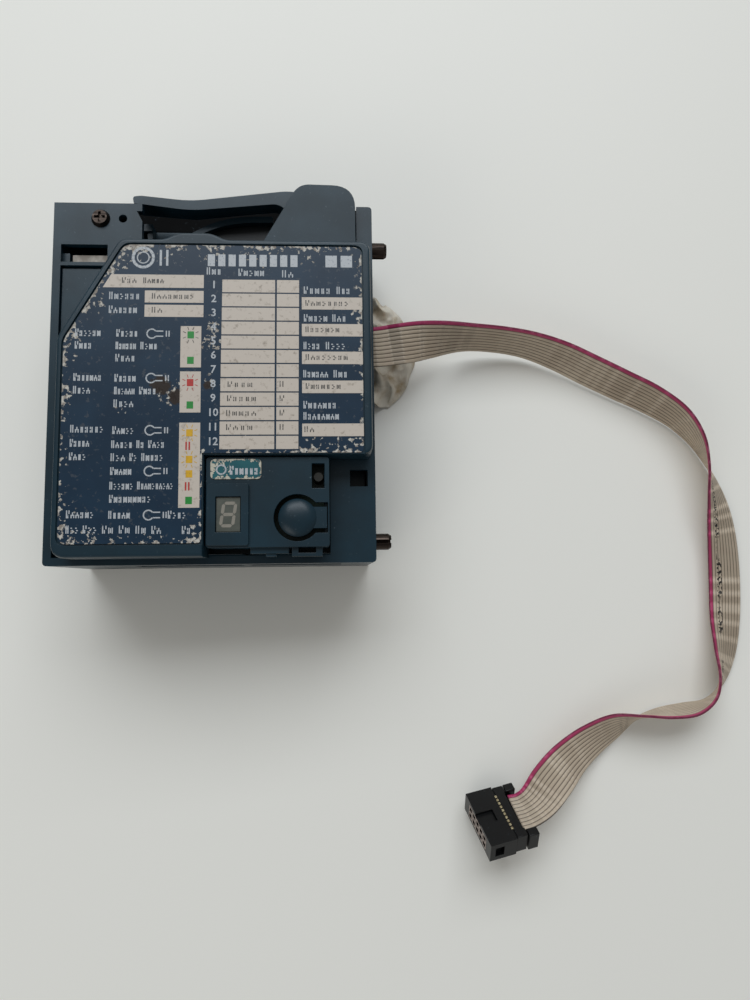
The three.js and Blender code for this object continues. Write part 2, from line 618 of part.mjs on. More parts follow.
function solenoidYoke() {
  const [x, , z] = GATE_PIVOT;
  const frame = block(x - 6.5, x + 6.5, YOKE_Y0, YOKE_Y1, REAR_T + 0.8, z - 1.6);
  const window = block(x - 8, x + 8, YOKE_Y0 + 1.2, YOKE_Y1 - 1.2, REAR_T + 2, z);
  return cut(frame, window, rod('y', [x, z - GATE_ARM], 1.9, YOKE_Y0 + 0.6, YOKE_Y1 + 1, 16));
}

function solenoidCoil() {
  const [x, , z] = GATE_PIVOT;
  const axis = [x, z - GATE_ARM];
  return cut(
    rod('y', axis, 3.2, YOKE_Y0 + 1.5, YOKE_Y1 - 1.5, 24),
    rod('y', axis, 1.9, YOKE_Y0, YOKE_Y1, 16),
  );
}

// ---- Fasteners, pins and springs ----------------------------------------------------------

// Slotted spring pin along X, with a chamfered outer end; the slot faces the given angle.
function springPin(y, slotAngle) {
  const x0 = PIN_IN_X;
  const x1 = RIGHT + MOUNT_PIN_OUT;
  const bar = join(
    rod('x', [y, MOUNT_PIN_Z], MOUNT_PIN_R, x0, x1 - 0.8, 28),
    rod('x', [y, MOUNT_PIN_Z], MOUNT_PIN_R, x1 - 0.9, x1, 28, MOUNT_PIN_R - 0.5),
  );
  const slot = new THREE.BoxGeometry(x1 - x0 + 2, MOUNT_PIN_R * 2, 0.9);
  slot.translate((x0 + x1) / 2, MOUNT_PIN_R, 0);
  slot.rotateX(slotAngle);
  slot.translate(0, y, MOUNT_PIN_Z);
  return cut(bar, rod('x', [y, MOUNT_PIN_Z], 1.4, x0 - 1, x1 + 1, 20), toSolid(slot));
}

function crossRecess([x, y], z0, z1, arm) {
  return join(
    block(x - arm, x + arm, y - 0.4, y + 0.4, z0, z1),
    block(x - 0.4, x + 0.4, y - arm, y + arm, z0, z1),
  );
}

function plateScrew() {
  const head = rod('z', PLATE_SCREW, SCREW_HEAD_R, BODY_D + 0.1, BODY_D + 1.3, 24, SCREW_HEAD_R - 0.6);
  const shaft = rod('z', PLATE_SCREW, SCREW_R, 28, BODY_D + 0.3, 12);
  return cut(join(head, shaft), crossRecess(PLATE_SCREW, BODY_D + 0.5, BODY_D + 2, 1.5));
}

function rearScrew(at) {
  const head = rod('z', at, SCREW_HEAD_R, 0.2, 1.4, 20);
  const shaft = rod('z', at, SCREW_R, 1.2, 12, 12);
  return cut(join(head, shaft), crossRecess(at, -1, 0.9, 1.4));
}

// A wound spring along an axis, round a pin.
function spring(axis, centre, radius, wire, from, to, turns) {
  const path = new THREE.Curve();
  path.getPoint = (t) => {
    const a = t * turns * Math.PI * 2;
    return new THREE.Vector3(radius * Math.cos(a), radius * Math.sin(a), from + (to - from) * t);
  };
  const section = rounded(rectangle(-wire, wire, -wire, wire), wire);
  const coilBody = new THREE.ExtrudeGeometry(section, {
    extrudePath: path, steps: Math.round(turns * 12), curveSegments: 1, bevelEnabled: false,
  });
  if (axis === 'x') coilBody.rotateY(Math.PI / 2);
  const [a, b] = centre;
  coilBody.translate(...{ x: [0, a, b], z: [a, b, 0] }[axis]);
  return toSolid(coilBody);
}

// ---- Tape patch ---------------------------------------------------------------------------

function tapePatch() {
  const x0 = RIGHT + 0.4;
  const outline = polygon([
    [x0, 1.2], [x0 + 6, 2.6], [x0 + 11.5, 7], [x0 + 15, 12.5], [x0 + 15.6, 19.5],
    [x0 + 13.5, 27], [x0 + 10, 33.5], [x0 + 6, 36.6], [x0, 36.4],
  ]);
  return prism(outline, 0.5, 5.5);
}

// ---- Ribbon cable and plug ----------------------------------------------------------------

// Centre of the ribbon and its roll in degrees: 0 is flat with the first conductor on the left
// of its run, 90 stands on edge with the first conductor on top.
const RIBBON_ROUTE = [
  [37.9, 17, 16, 0], [46.6, 17.2, 16, 2], [54.2, 18.4, 15.5, 12], [64, 20.5, 13.2, 40],
  [75.9, 22.3, 10.4, 64], [87.8, 22.2, 8.6, 68], [98, 20.7, 7.5, 66], [108.2, 17.3, 6.8, 60],
  [118.3, 12.5, 6.4, 57], [128.2, 7.7, 6.3, 58], [138.1, 2.8, 6.4, 62], [147, -3.4, 6.8, 74],
  [152.8, -11, 7, 92], [156.1, -19.3, 6.7, 113], [158.3, -27.5, 5.8, 135], [160.2, -36.4, 4.4, 152],
  [161.2, -46, 3.4, 161], [161.2, -58, 3.1, 164], [160.4, -69.5, 3.4, 161], [158.9, -80, 4.8, 146],
  [156.5, -88.4, 6.2, 125], [152.2, -94.4, 7, 104], [145.5, -97.4, 7.1, 84], [137.3, -98.6, 7.1, 86],
  [129.3, -99.7, 6.9, 104], [121.2, -102.3, 5.9, 138], [113.5, -106.6, 5.4, 156],
  [106, -111.9, 6.6, 174], [99.6, -117.8, 8.6, 200], [94.2, -123.4, 10, 226],
  [90.2, -125.6, 10.6, 233.5], [87.2, -126.1, 11.1, 233.5],
];

function ribbonCable() {
  const steps = 78;
  const centre = new THREE.CatmullRomCurve3(
    RIBBON_ROUTE.map(([x, y, z]) => new THREE.Vector3(x, y, z)), false, 'centripetal',
  );
  const strip = new THREE.BoxGeometry(1, RIBBON_W, RIBBON_T, steps, 1, 1);
  const place = strip.attributes.position;
  const up = new THREE.Vector3(0, 0, 1);
  for (let i = 0; i < place.count; i += 1) {
    const t = place.getX(i) + 0.5;
    const at = centre.getPoint(t);
    const along = centre.getTangent(t);
    const left = up.clone().cross(along).normalize();
    const over = along.clone().cross(left);
    const reach = t * (RIBBON_ROUTE.length - 1);
    const k = Math.min(Math.floor(reach), RIBBON_ROUTE.length - 2);
    const roll = THREE.MathUtils.degToRad(
      THREE.MathUtils.lerp(RIBBON_ROUTE[k][3], RIBBON_ROUTE[k + 1][3], reach - k),
    );
    const across = left.clone().multiplyScalar(Math.cos(roll)).addScaledVector(over, Math.sin(roll));
    const face = along.clone().cross(across);
    at.addScaledVector(across, place.getY(i)).addScaledVector(face, place.getZ(i));
    place.setXYZ(i, at.x, at.y, at.z);
  }
  return toSolid(strip);
}

// The plug's own frame: X along the row of contacts, Y from the mating face to the rear cover,
// Z out of the top face, with its origin at the top face's first corner.
const PLUG_L = 19;
const PLUG_T = 6.8;
const PLUG_D = 8.4;
const PLUG_AT = new THREE.Vector3(72.9, -121.4, 6.6);
const PLUG_ROW = new THREE.Vector3(0.233, -0.564, 0.792).normalize();
const PLUG_DEPTH = new THREE.Vector3(0.97, 0.166, -0.168);
PLUG_DEPTH.addScaledVector(PLUG_ROW, -PLUG_DEPTH.dot(PLUG_ROW)).normalize();
const PLUG_FRAME = new THREE.Matrix4()
  .makeBasis(PLUG_ROW, PLUG_DEPTH, PLUG_ROW.clone().cross(PLUG_DEPTH))
  .setPosition(PLUG_AT);

function plugBody() {
  const pitch = 2.54;
  const holes = [];
  for (let column = 0; column < 5; column += 1) {
    for (let row = 0; row < 2; row += 1) {
      const x = PLUG_L / 2 + (column - 2) * pitch;
      const z = -PLUG_T / 2 + (row - 0.5) * pitch;
      holes.push(block(x - 0.8, x + 0.8, -1, 6, z - 0.8, z + 0.8));
    }
  }
  const key = block(PLUG_L / 2 - 2, PLUG_L / 2 + 2, -1, 5.5, -0.9, 1);
  const latch = block(PLUG_L - 1.2, PLUG_L + 1, 1.6, 4.4, -5.2, -1.6);
  return cut(block(0, PLUG_L, 0, PLUG_D, -PLUG_T, 0), ...holes, key, latch);
}

function plugCover() {
  const y0 = PLUG_D + 0.2;
  const cover = block(0.4, PLUG_L - 0.4, y0, y0 + 3.3, -PLUG_T + 0.2, 0);
  return cut(cover, block(3, PLUG_L - 3, y0 + 2.9, y0 + 4, -PLUG_T - 1, 1));
}

function plugStrainRelief() {
  const y0 = PLUG_D + 3.9;
  const bar = block(1.2, PLUG_L - 1.2, y0, y0 + 2.4, -PLUG_T + 0.2, -3.2);
  const ears = [
    block(0, 2.6, y0, y0 + 3.2, -PLUG_T + 0.2, -0.3),
    block(PLUG_L - 2.6, PLUG_L, y0, y0 + 3.2, -PLUG_T + 0.2, -0.3),
  ];
  return join(bar, ...ears);
}

function addOnPlug(name, solid, look) {
  add(name, solid.transform(PLUG_FRAME.elements), look);
}

// ---- The object ---------------------------------------------------------------------------

add('main_body', mainBody(), TEAL);
add('rear_cover', rearCover(), TEAL_DARK);
add('mouth_lip', mouthLip(), BLACK);
add('front_cover', frontCover(), TEAL);
add('front_label', frontLabel(), finish('#27384c', 0.5));
add('control_panel', controlPanel(), TEAL);
add('push_button', pushButton(), TEAL);
add('panel_sticker', prism(rounded(rectangle(
  PANEL_X0 + 1.2, PANEL_X0 + 14.4, PANEL_Y1 - 5.9, PANEL_Y1 - 0.6), 1.2), PANEL_Z1 + 0.02, PANEL_Z1 + 0.25), PAPER);
add('display_module', displayModule(), BLACK);
add('status_led', rod('z', LAMP, 1.4, BOARD_TOP_Z + 0.1, PANEL_Z1 - 2.4, 16, 1.2), finish('#7d8a3a', 0.3));
add('main_board', mainBoard(), BOARD);
add('switch_body', cut(
  block(BUTTON[0] - 3, BUTTON[0] + 3, BUTTON[1] - 3, BUTTON[1] + 3, SWITCH_Z, SWITCH_Z + 3.4),
  rod('z', BUTTON, 2.1, SWITCH_Z + 1.6, SWITCH_Z + 4, 16),
), BLACK);
add('switch_stem', rod('z', BUTTON, 1.75, SWITCH_Z + 2.3, SWITCH_Z + 4.9, 16), STEEL);

add('flight_deck', flightDeck(), TEAL);
add('deck_hinge_pin', rod('x', [PIN_Y, HINGE_Z], HINGE_PIN_R, LEFT + WALL + 0.1, RIGHT - WALL - 0.1, 14), STEEL);
add('hinge_clip', block(LEFT + 4.7, LEFT + 14.6, PIN_Y - 0.8, PIN_Y + 2, PLATE_Z - 1.1, PLATE_Z - GAP),
  finish('#cdc4b8', 0.6));
add('deck_spring', spring('x', [PIN_Y, HINGE_Z], 1.6, 0.25, RIGHT - 9, RIGHT - 5.2, 5), STEEL);
add('entry_guide', entryGuide(), TEAL);
add('reject_lever', rejectLever(), TEAL);
add('lever_pivot_pin', rod('z', LEVER, 1.2, DECK_Z0 + 0.1, COVER_Z0, 16), STEEL);
add('lever_spring', spring('z', LEVER, 2.1, 0.22, DECK_Z0 + 1.85, LEVER_Z0 - 0.35, 2), STEEL);

add('runway_strip', prism(polygon([
  onRunway(MOUTH_X0 + 9, 0.7), onRunway(RUNWAY_END, 0.4), onRunway(RUNWAY_END, 1.2), onRunway(MOUTH_X0 + 9, 1.5),
]), COIN_Z0 + 0.3, COIN_Z1 - 0.5), STEEL);
add('impact_pad', prism(polygon([
  onRunway(MOUTH_X0 + 0.4, 0.6), onRunway(MOUTH_X0 + 8.6, 0.8), onRunway(MOUTH_X0 + 8.6, 2), onRunway(MOUTH_X0 + 0.4, 2.3),
]), COIN_Z0 + 0.3, COIN_Z1 - 0.5), BLACK);
add('accept_gate', acceptGate(), TEAL_DARK);
add('gate_pivot_pin', rod('x', [GATE_PIVOT[1], GATE_PIVOT[2]], 1,
  GATE_PIVOT[0] - GATE_W / 2 - 1.8, GATE_PIVOT[0] + GATE_W / 2 + 1.8, 14), STEEL);
add('gate_spring', spring('x', [GATE_PIVOT[1], GATE_PIVOT[2]], 2.9, 0.22,
  GATE_PIVOT[0] - GATE_W / 2 - 6.2, GATE_PIVOT[0] - GATE_W / 2 - 3, 4), STEEL);
add('solenoid_yoke', solenoidYoke(), STEEL);
add('solenoid_coil', solenoidCoil(), COPPER);
add('solenoid_plunger', solenoidPlunger(), STEEL);

add('rear_board', block(LEFT + 12, RIGHT - 5, 7, TOP - 9.8, 10, 10 + BOARD_T), BOARD);
add('ribbon_header', ribbonHeader(), BLACK);
add('entry_coil_rear', coil(COILS.entry, WEB_Z - 5.3, WEB_Z - GAP), BLACK);
add('run_coil_rear', coil(COILS.run, WEB_Z - 5.3, WEB_Z - GAP), BLACK);
add('entry_coil_front', coil(COILS.entry, DECK_Z1 + 0.1, DECK_Z1 + 5), BLACK);
add('run_coil_front', coil(COILS.run, DECK_Z1 + 0.1, DECK_Z1 + 5), BLACK);
add('exit_emitter', rod('z', EXIT_SENSOR, 1.8, WEB_Z - 4.5, WEB_Z - GAP, 16), BLACK);
add('exit_receiver', rod('z', EXIT_SENSOR, 1.8, DECK_Z1 + 0.1, DECK_Z1 + 4, 16), BLACK);

add('upper_mounting_pin', springPin(PINS[0], Math.PI), DARK_STEEL);
add('lower_mounting_pin', springPin(PINS[1], Math.PI / 2), DARK_STEEL);
add('plate_screw', plateScrew(), DARK_STEEL);
SCREWS.forEach((at, i) => add(`rear_screw_${i + 1}`, rearScrew(at), DARK_STEEL));

add('tape_patch', tapePatch(), PAPER);
add('ribbon_cable', ribbonCable(), GREY_PVC);
addOnPlug('plug_body', plugBody(), BLACK);
addOnPlug('plug_cover', plugCover(), BLACK);
addOnPlug('plug_strain_relief', plugStrainRelief(), BLACK);

export default root;
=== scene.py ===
# %% [markdown]
# # A coin acceptor with its ribbon cable
# A coin acceptor checks coins in a flat plastic housing. This lesson dresses its engineering model
# for a close product shot. The engineering model, loaded first, fixes every size and place, so all
# the new pieces are built around it in metres and never the other way round.

# %% Load the engineering model
import json
import math
import random

import bmesh
import bpy
from mathutils import Matrix, Vector


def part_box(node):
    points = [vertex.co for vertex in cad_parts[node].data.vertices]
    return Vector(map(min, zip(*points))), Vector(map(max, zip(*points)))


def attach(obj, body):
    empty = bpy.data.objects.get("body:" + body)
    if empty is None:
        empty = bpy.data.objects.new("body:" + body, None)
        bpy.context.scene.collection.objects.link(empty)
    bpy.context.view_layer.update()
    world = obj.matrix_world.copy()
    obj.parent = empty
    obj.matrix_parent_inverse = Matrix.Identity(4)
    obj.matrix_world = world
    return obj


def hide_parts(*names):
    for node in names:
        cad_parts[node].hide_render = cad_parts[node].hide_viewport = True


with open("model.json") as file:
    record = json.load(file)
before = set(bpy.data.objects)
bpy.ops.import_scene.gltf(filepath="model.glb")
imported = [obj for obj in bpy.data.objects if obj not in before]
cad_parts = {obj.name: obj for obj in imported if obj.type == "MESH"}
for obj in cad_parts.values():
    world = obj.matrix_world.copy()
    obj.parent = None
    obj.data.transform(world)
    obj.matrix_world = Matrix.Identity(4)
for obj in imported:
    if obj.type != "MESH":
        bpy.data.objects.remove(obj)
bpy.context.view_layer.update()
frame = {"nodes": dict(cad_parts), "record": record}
MM = 0.001
print("engineering model:", len(frame["nodes"]), "nodes")

# %% [markdown]
# ## Camera
# The acceptor lies on a pale table and is seen from almost straight above, from a hand's height, a
# little towards its lower right. A 27 mm lens from 20 cm gives the strong perspective of a phone.

# %% Camera
RIGHT_WAY = Vector((0.99825, -0.0144, 0.058)).normalized()
BACK_WAY = Vector((-0.0589, -0.1104, 0.992)).normalized()
UP_WAY = BACK_WAY.cross(RIGHT_WAY).normalized()
lens = bpy.data.cameras.new("camera")
lens.lens = 27
lens.sensor_width = 36
lens.clip_start = 0.01
camera = bpy.data.objects.new("camera", lens)
turn = Matrix((UP_WAY.cross(BACK_WAY), UP_WAY, BACK_WAY)).transposed()
camera.matrix_world = Matrix.Translation((0.03213, -0.05653, 0.2443)) @ turn.to_4x4()
bpy.context.collection.objects.link(camera)
bpy.context.scene.camera = camera
print("camera height:", round(camera.location.z / MM), "mm")

# %% [markdown]
# ## Nodes and colours
# Every finish below is a small tree of shader nodes. One function turns a swatch's hex value into
# the linear numbers that the shader needs, and one adds a node with its settings and its links.


# %% Colour and node helpers
def swatch(hex_value, alpha=1.0):
    """An sRGB hex value as linear red, green, blue and alpha."""
    parts = [int(hex_value[i:i + 2], 16) / 255 for i in (1, 3, 5)]
    linear = [c / 12.92 if c <= 0.04045 else ((c + 0.055) / 1.055) ** 2.4 for c in parts]
    return (*linear, alpha)


def put(material, kind, links=None, **settings):
    """Adds a node; settings are its properties or socket values, links are socket: source socket."""
    made = material.node_tree.nodes.new(kind)
    for name, value in settings.items():
        if hasattr(made, name):
            setattr(made, name, value)
        else:
            made.inputs[name.replace("_", " ")].default_value = value
    for name, source in (links or {}).items():
        material.node_tree.links.new(source, made.inputs[name])
    return made


def new_material(name, base, **settings):
    """A material with one Principled shader; settings go on the shader's own sockets."""
    material = bpy.data.materials.new(name)
    material.use_nodes = True
    shader = material.node_tree.nodes["Principled BSDF"]
    shader.inputs["Base Color"].default_value = swatch(base)
    for socket, value in settings.items():
        shader.inputs[socket.replace("_", " ")].default_value = value
    return material, shader


def wire(material, source, socket):
    material.node_tree.links.new(source, socket)


def blend_of(material, factor, first, second):
    """A colour mix from first to second by factor."""
    mixer = put(material, "ShaderNodeMix", data_type="RGBA")
    sockets = [s for s in mixer.inputs if s.type == "RGBA"]
    for socket, value in zip(sockets, (first, second)):
        if isinstance(value, bpy.types.NodeSocket):
            wire(material, value, socket)
        else:
            socket.default_value = swatch(value)
    wire(material, factor, mixer.inputs[0])
    return next(s for s in mixer.outputs if s.type == "RGBA")


def ramp_of(material, factor, low, high):
    """0 below low, 1 above high, straight in between; low may be above high."""
    scaled = put(material, "ShaderNodeMapRange", {"Value": factor}, clamp=True)
    scaled.inputs["From Min"].default_value = low
    scaled.inputs["From Max"].default_value = high
    return scaled.outputs["Result"]


def noise_of(material, size_mm, detail=3.0, roughness=0.55, stretch=(1, 1, 1)):
    """Noise whose blotches are about size_mm across, on the object's own coordinates."""
    place = put(material, "ShaderNodeTexCoord").outputs["Object"]
    scaled = put(material, "ShaderNodeMapping", {"Vector": place}, Scale=stretch)
    grain = put(material, "ShaderNodeTexNoise", {"Vector": scaled.outputs["Vector"]},
                Scale=1 / (size_mm * MM), Detail=detail, Roughness=roughness)
    return grain.outputs["Fac"]


def bump_of(material, shader, height, depth_mm):
    lift = put(material, "ShaderNodeBump", {"Height": height}, Distance=depth_mm * MM, Strength=1.0)
    wire(material, lift.outputs["Normal"], shader.inputs["Normal"])


print("slate swatch:", [round(c, 3) for c in swatch("#42535d")])

# %% [markdown]
# ## Moulded ABS
# The housing is ABS, moulded in a spark-eroded tool that leaves a fine satin grain. Its gloss is
# broken by the grain and rubbed a little shinier and paler where hands and coins have been. The
# real grain is about 0.1 mm, too fine to show, so it is drawn at 0.35 mm.


# %% ABS materials
def moulded_abs(name, base, worn, grain_mm=0.35, roughness=0.36, shine=0.36):
    material, shader = new_material(name, base, IOR=1.54, Specular_IOR_Level=shine)
    patches = noise_of(material, 14, detail=4)
    scuffs = ramp_of(material, noise_of(material, 5, detail=6, roughness=0.7), 0.52, 0.74)
    tone = blend_of(material, ramp_of(material, patches, 0.35, 0.75), base, worn)
    dust = ramp_of(material, noise_of(material, 0.8, detail=2), 0.63, 0.72)
    soft_scuffs = put(material, "ShaderNodeMath", operation="MULTIPLY")
    wire(material, scuffs, soft_scuffs.inputs[0])
    wire(material, dust, soft_scuffs.inputs[1])
    wire(material, blend_of(material, soft_scuffs.outputs[0], tone, "#5f6d75"),
         shader.inputs["Base Color"])
    sheen = put(material, "ShaderNodeMapRange", {"Value": patches})
    sheen.inputs["To Min"].default_value = roughness + 0.05
    sheen.inputs["To Max"].default_value = roughness - 0.07
    wire(material, sheen.outputs["Result"], shader.inputs["Roughness"])
    bump_of(material, shader, noise_of(material, grain_mm, detail=2), 0.007)
    return material


ABS_SLATE = moulded_abs("abs_slate_moulded", "#0b2530", "#15323f")
ABS_DARK = moulded_abs("abs_dark_moulded", "#0b1a21", "#11232b")
BLACK_NYLON = moulded_abs("nylon_black_moulded", "#060607", "#0b0b0c", roughness=0.36, shine=0.3)
# The mouth lip is near black and matt: painted shade for the deep shadow under the lever bar.
SHADE_BLACK_ABS = moulded_abs("abs_black_painted_shade", "#040405", "#08090a", roughness=0.85, shine=0.12)
MOUTH_ABS = moulded_abs("abs_slate_mouth_painted_shade", "#0b2530", "#15323f", roughness=0.43)


def painted_mouth_shade(material, unshaded_above_mm):
    """Painted shade: near black on everything below a height, for the shadow deep inside the coin mouth."""
    shader = material.node_tree.nodes["Principled BSDF"]
    tone = shader.inputs["Base Color"].links[0].from_socket
    place = put(material, "ShaderNodeTexCoord").outputs["Object"]
    height = put(material, "ShaderNodeSeparateXYZ", {"Vector": place}).outputs["Z"]
    unshaded = ramp_of(material, height, (unshaded_above_mm - 1.2) * MM, unshaded_above_mm * MM)
    wire(material, blend_of(material, unshaded, "#050607", tone), shader.inputs["Base Color"])


# The mouth's slate turns near black below 30.3 mm: painted shade for the shadowed cavity inside the coin
# mouth.
painted_mouth_shade(MOUTH_ABS, 30.3)
print("moulded finishes:", ABS_SLATE.name, ABS_DARK.name, BLACK_NYLON.name)

# %% [markdown]
# ## Metals, boards and small parts
# The pins are oiled spring steel with a brown-black film, the hidden pins and springs plain steel.
# Both keep the metal shader's default IOR, and drawn streaks along the bar come from stretched noise.


# %% Metal and small-part materials
def drawn_steel(name, base, film, roughness):
    material, shader = new_material(name, base, Metallic=1.0)
    streaks = noise_of(material, 0.6, detail=4, stretch=(0.08, 1, 1))
    wire(material, blend_of(material, ramp_of(material, streaks, 0.35, 0.7), base, film),
         shader.inputs["Base Color"])
    spread = put(material, "ShaderNodeMapRange", {"Value": streaks})
    spread.inputs["To Min"].default_value = roughness - 0.08
    spread.inputs["To Max"].default_value = roughness + 0.12
    wire(material, spread.outputs["Result"], shader.inputs["Roughness"])
    return material


def speckled(name, base, second, size_mm, roughness, **settings):
    """A plain finish with soft second-colour blotches of a real size."""
    material, shader = new_material(name, base, Roughness=roughness, **settings)
    blotches = ramp_of(material, noise_of(material, size_mm, detail=4), 0.4, 0.65)
    wire(material, blend_of(material, blotches, base, second), shader.inputs["Base Color"])
    bump_of(material, shader, noise_of(material, size_mm / 4), 0.01)
    return material


STEEL = drawn_steel("spring_steel_drawn", "#a3a4a6", "#7f8083", 0.32)
OILED_STEEL = drawn_steel("spring_steel_oiled", "#4b413b", "#1d1a19", 0.34)
SOLDER_MASK = speckled("solder_mask_green", "#0b2618", "#0f3020", 6, 0.35, IOR=1.5)
COPPER_WIRE = speckled("copper_enamelled_winding", "#8f4a22", "#b46a35", 1.2, 0.35, Metallic=0.8)
RUBBER = speckled("rubber_moulded", "#17181a", "#232426", 2, 0.8)
LED_EPOXY = speckled("epoxy_tinted", "#1f1e17", "#2b2820", 2, 0.35, IOR=1.53)
NATURAL_NYLON = speckled("nylon_natural_moulded", "#8f8478", "#c9c0b4", 3, 0.55, IOR=1.53)
print("metal finishes:", STEEL.name, OILED_STEEL.name)

# %% [markdown]
# ## Broken edges
# The engineering solids have razor edges, but a moulded edge is never sharper than about 0.2 mm
# and it is that small round that catches the light. Each visible casting is copied, its triangles
# are welded and dissolved back into flat faces, and a bevel rounds every sharp edge.

# %% Rounded copies of the engineering pieces
SHARP = math.radians(28)
BODY_OF = {node: body for body, nodes in frame["record"]["behaviour"]["bodies"].items() for node in nodes}


def new_piece(name, mesh_data, material, body):
    """Puts a finished mesh in the scene, riding on a body."""
    piece = bpy.data.objects.new(name, mesh_data)
    bpy.context.collection.objects.link(piece)
    for finish in material if isinstance(material, list) else [material]:
        piece.data.materials.append(finish)
    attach(piece, body)
    return piece


def from_bmesh(name, shape, material, body, smooth=True):
    mesh_data = bpy.data.meshes.new(name)
    shape.to_mesh(mesh_data)
    shape.free()
    for face in mesh_data.polygons:
        face.use_smooth = smooth
    return new_piece(name, mesh_data, material, body)


def apply_modifiers(piece):
    """Bakes a piece's modifiers into its mesh."""
    depsgraph = bpy.context.evaluated_depsgraph_get()
    finished = bpy.data.meshes.new_from_object(piece.evaluated_get(depsgraph))
    piece.modifiers.clear()
    piece.data = finished
    return piece


def welded_copy(node):
    """The node's solid as a bmesh of flat faces in place of loose triangles."""
    shape = bmesh.new()
    shape.from_mesh(frame["nodes"][node].data)
    bmesh.ops.remove_doubles(shape, verts=shape.verts, dist=0.02 * MM)
    bmesh.ops.dissolve_limit(shape, angle_limit=math.radians(1), verts=shape.verts, edges=shape.edges)
    for edge in shape.edges:
        edge.smooth = edge.calc_face_angle(math.pi) < SHARP
    return shape


def broken_edges(node, material, round_mm, segments=2):
    """Replaces a node by a copy with its sharp edges rounded."""
    piece = from_bmesh(node + "_finished", welded_copy(node), material, BODY_OF[node])
    bevel = piece.modifiers.new("broken_edges", "BEVEL")
    bevel.width = round_mm * MM
    bevel.segments = segments
    bevel.limit_method = "ANGLE"
    bevel.angle_limit = SHARP
    bevel.use_clamp_overlap = True
    shading = piece.modifiers.new("flat_faces_stay_flat", "WEIGHTED_NORMAL")
    shading.keep_sharp = True
    shading.weight = 80
    apply_modifiers(piece)
    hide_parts(node)
    return piece


ROUNDED = {
    "main_body": (ABS_SLATE, 0.15), "front_cover": (ABS_SLATE, 0.2), "rear_cover": (ABS_DARK, 0.2),
    "control_panel": (ABS_SLATE, 0.18), "push_button": (ABS_SLATE, 0.15),
    "flight_deck": (ABS_SLATE, 0.2), "entry_guide": (MOUTH_ABS, 0.3), "reject_lever": (ABS_SLATE, 0.35),
    "accept_gate": (ABS_DARK, 0.12), "plug_body": (BLACK_NYLON, 0.12),
    "plug_cover": (BLACK_NYLON, 0.15), "plug_strain_relief": (BLACK_NYLON, 0.2),
}
for node, (material, round_mm) in ROUNDED.items():
    broken_edges(node, material, round_mm)

# %% Plain nodes that only need their finish
KEPT = {
    OILED_STEEL: ["upper_mounting_pin", "lower_mounting_pin", "plate_screw"]
    + [f"rear_screw_{i}" for i in range(1, 5)],
    STEEL: ["deck_hinge_pin", "deck_spring", "lever_pivot_pin", "lever_spring", "runway_strip",
            "gate_pivot_pin", "gate_spring", "solenoid_yoke", "solenoid_plunger", "switch_stem"],
    SHADE_BLACK_ABS: ["mouth_lip"],
    BLACK_NYLON: ["switch_body", "ribbon_header", "exit_emitter", "exit_receiver", "entry_coil_rear",
                  "run_coil_rear", "entry_coil_front", "run_coil_front", "display_module"],
    SOLDER_MASK: ["main_board", "rear_board"],
    COPPER_WIRE: ["solenoid_coil"],
    RUBBER: ["impact_pad"],
    LED_EPOXY: ["status_led"],
    NATURAL_NYLON: ["hinge_clip"],
}
for material, nodes in KEPT.items():
    for node in nodes:
        kept = frame["nodes"][node]
        kept.data.materials.clear()
        kept.data.materials.append(material)
print("kept nodes:", sum(len(nodes) for nodes in KEPT.values()))

# %% [markdown]
# ## Printed label
# The label is a polyester film, printed dark blue on white stock and stuck into its recess. Years of
# hands have chipped the ink along its edges, so the white stock shows there in ragged flakes. The
# film is sliced into millimetre strips, which gives enough points to store how worn each place is;
# the finish then compares that number with noise. Wear drawn from edge distance follows any outline.

# %% Worn film
LABEL_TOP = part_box("front_label")[1][2]


def worn_film(node, material, spots, reach_mm, strength, fineness_mm=1.0):
    """The node's plate as a finely sliced film, with a 'wear' value from 0 to 1 at every point."""
    shape = welded_copy(node)
    low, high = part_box(node)
    sides = [f for f in shape.faces if any(v.co.z < high[2] - 0.05 * MM for v in f.verts)]
    bmesh.ops.delete(shape, geom=sides, context="FACES")
    rim = [(e.verts[0].co.copy(), e.verts[1].co.copy()) for e in shape.edges if e.is_boundary]
    for axis, facing in ((0, (1, 0, 0)), (1, (0, 1, 0))):
        cut_at = low[axis] + fineness_mm * MM
        while cut_at < high[axis]:
            point = (cut_at, 0, 0) if axis == 0 else (0, cut_at, 0)
            parts = list(shape.verts) + list(shape.edges) + list(shape.faces)
            bmesh.ops.bisect_plane(shape, geom=parts, plane_co=point, plane_no=facing)
            cut_at += fineness_mm * MM
    wear = shape.verts.layers.float.new("wear")
    for vert in shape.verts:
        gap = min(distance_to_edge(vert.co, a, b) for a, b in rim) / MM
        worn = strength * max(0, 1 - gap / reach_mm)
        for x, y, radius, extra in spots:
            away = math.hypot(vert.co.x / MM - x, vert.co.y / MM - y) / radius
            worn += extra * max(0, 1 - away)
        vert[wear] = worn
    bmesh.ops.recalc_face_normals(shape, faces=shape.faces)
    if shape.faces[0].normal.z < 0:
        bmesh.ops.reverse_faces(shape, faces=shape.faces)
    film = from_bmesh(node + "_film", shape, material, BODY_OF[node], smooth=False)
    thick = film.modifiers.new("thickness", "SOLIDIFY")
    thick.thickness = high[2] - low[2]
    thick.offset = -1
    apply_modifiers(film)
    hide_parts(node)
    return film


def distance_to_edge(point, a, b):
    """Distance in the plane from a point to the edge from a to b."""
    edge = Vector((b.x - a.x, b.y - a.y))
    to_point = Vector((point.x - a.x, point.y - a.y))
    share = min(max(to_point.dot(edge) / max(edge.length_squared, 1e-12), 0), 1)
    return (to_point - edge * share).length


print("label top:", round(LABEL_TOP / MM, 2), "mm")


